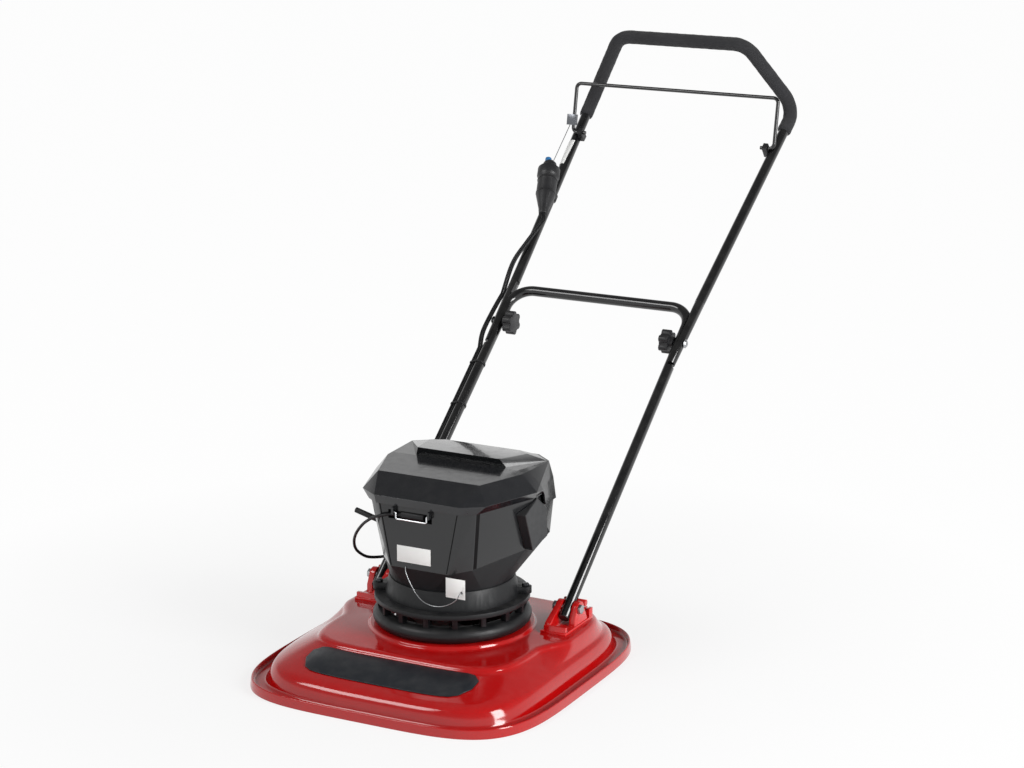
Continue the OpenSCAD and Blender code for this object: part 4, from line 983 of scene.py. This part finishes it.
def placed(point, side):
    """A point of the right half in mm, or its mirror image on the left, in metres."""
    x, y, z = point
    return Vector((side*x, y, z))/1000


def raised_strip(name, first, second, out):
    """A thin dark strip of painted shade between two edges, each given by its low and its high end."""
    rows = []
    for k in range(STRIP_PARTS + 1):
        share = STRIP_END + (1 - 2*STRIP_END)*k/STRIP_PARTS
        p, q = between(*first, share), between(*second, share)
        rows.append([p, p + out, q + out, q])
    return dressed(loft(name, rows, PAINTED_SHADE_BLACK), "deck", slot="cowl_black")


# A strip of painted shade on the side facet, just behind a front corner of the cowl.
def side_shade_strip(name, side):
    low, high = ([placed(p, side) for p in ends] for ends in (SIDE_LOW, SIDE_HIGH))
    out = Vector((side*0.94, -0.33, -0.1)).normalized()*STRIP_PROUD
    edges = [(between(*low, share), between(*high, share)) for share in SHADE_STRIP_SHARES]
    return raised_strip(name, *edges, out)


# A fine line of painted shade down one edge of the front panel; it stands proud and is no real groove.
def panel_shade_line(name, side):
    edge = [placed(p, side) for p in (PANEL_LOW, PANEL_HIGH)]
    across = placed((-SHADE_LINE_W, 0, 0), side)
    return raised_strip(name, edge, [p + across for p in edge], Vector((0, -STRIP_PROUD, 0)))


painted_shade_strips = [side_shade_strip("right_shade_strip", 1), side_shade_strip("left_shade_strip", -1),
         panel_shade_line("right_shade_line", 1), panel_shade_line("left_shade_line", -1)]
print("painted_shade_strips", [o.name for o in painted_shade_strips])

# %% [markdown]
# Ribbed rubber boots keep the lead from kinking where it leaves its plug and its gland. They follow the
# ends of the lead's own path and narrow along it. The tag's wire is wound round itself just before the tag.

# %% Boots and the twist
BOOT_STEPS = 600
BOOT_LONG = 0.014
BOOT_WIDE = 0.0052
BOOT_TAPER = 0.0020
BOOT_RIB = 0.0004
BOOT_RIBS = 9
TWIST_STEPS = 60
TWIST_TURNS = 4
TWIST_WIDE = 0.0012
TWIST_R = 0.0006


def boot(name, path):
    """A ribbed rubber sleeve that narrows along the start of a path."""
    run = resampled(path, BOOT_STEPS)
    count = int(BOOT_STEPS*BOOT_LONG/run_length(path))
    ribs = [BOOT_WIDE - BOOT_TAPER*i/count + (BOOT_RIB if (i*BOOT_RIBS//count) % 2 else 0.0)
            for i in range(count)]
    return dressed(swept(name, run[:count], ribs, CABLE_RUBBER, 20), "deck", slot="cable_rubber")


fine_lead = smooth_curve(LEAD_POINTS, 12)
boots = [boot("plug_boot", fine_lead), boot("gland_boot", fine_lead[::-1])]

twist_from, twist_to = WIRE_POINTS[-3], WIRE_POINTS[-2]
twist_side = (twist_to - twist_from).orthogonal().normalized()
twist_up = (twist_to - twist_from).normalized().cross(twist_side)
twist_path = []
for i in range(TWIST_STEPS + 1):
    turn = 2*math.pi*TWIST_TURNS*i/TWIST_STEPS
    aside = TWIST_WIDE*(twist_side*math.cos(turn) + twist_up*math.sin(turn))
    twist_path.append(between(twist_from, twist_to, 0.1 + 0.8*i/TWIST_STEPS) + aside)
twist = dressed(tube("tag_twist", twist_path, TWIST_R, STEEL, 8), "deck", slot="steel")
print("boots and twist", [o.name for o in (*boots, twist)])

# %% [markdown]
# The switch is moulded in sections, and a raised band marks each joint between them. A band is a ring with
# slightly sloping sides. Its inner edge lies inside the body, so that no gap shows.

# %% Bands round the switch
BAND_SIDES = 64
BAND_IN = 19.6
BAND_SLOPE = 0.3


def switch_band(name, low, high, radius):
    """A raised ring round the switch, low and high along its axis (mm)."""
    across = along_switch.orthogonal().normalized()
    beside = along_switch.cross(across)
    turns = [2*math.pi*i/BAND_SIDES for i in range(BAND_SIDES)]
    spokes = [across*math.cos(a) + beside*math.sin(a) for a in turns]
    section = ((low, BAND_IN), (low + BAND_SLOPE, radius), (high - BAND_SLOPE, radius), (high, BAND_IN))
    rings = [[on_upper(*(switch_low + along_switch*s + r*spoke)) for spoke in spokes] for s, r in section]
    return dressed(loft(name, rings, KNOB_BLACK, closed=True), "upper_handle", slot="knob_dark")


bands = [switch_band("switch_band_low", 50, 54, 20.7), switch_band("switch_band_high", 84, 88, 21.0)]
print("bands", [o.name for o in bands])

# %% [markdown]
# Last, the view layer is updated.

# %% Last update
bpy.context.view_layer.update()
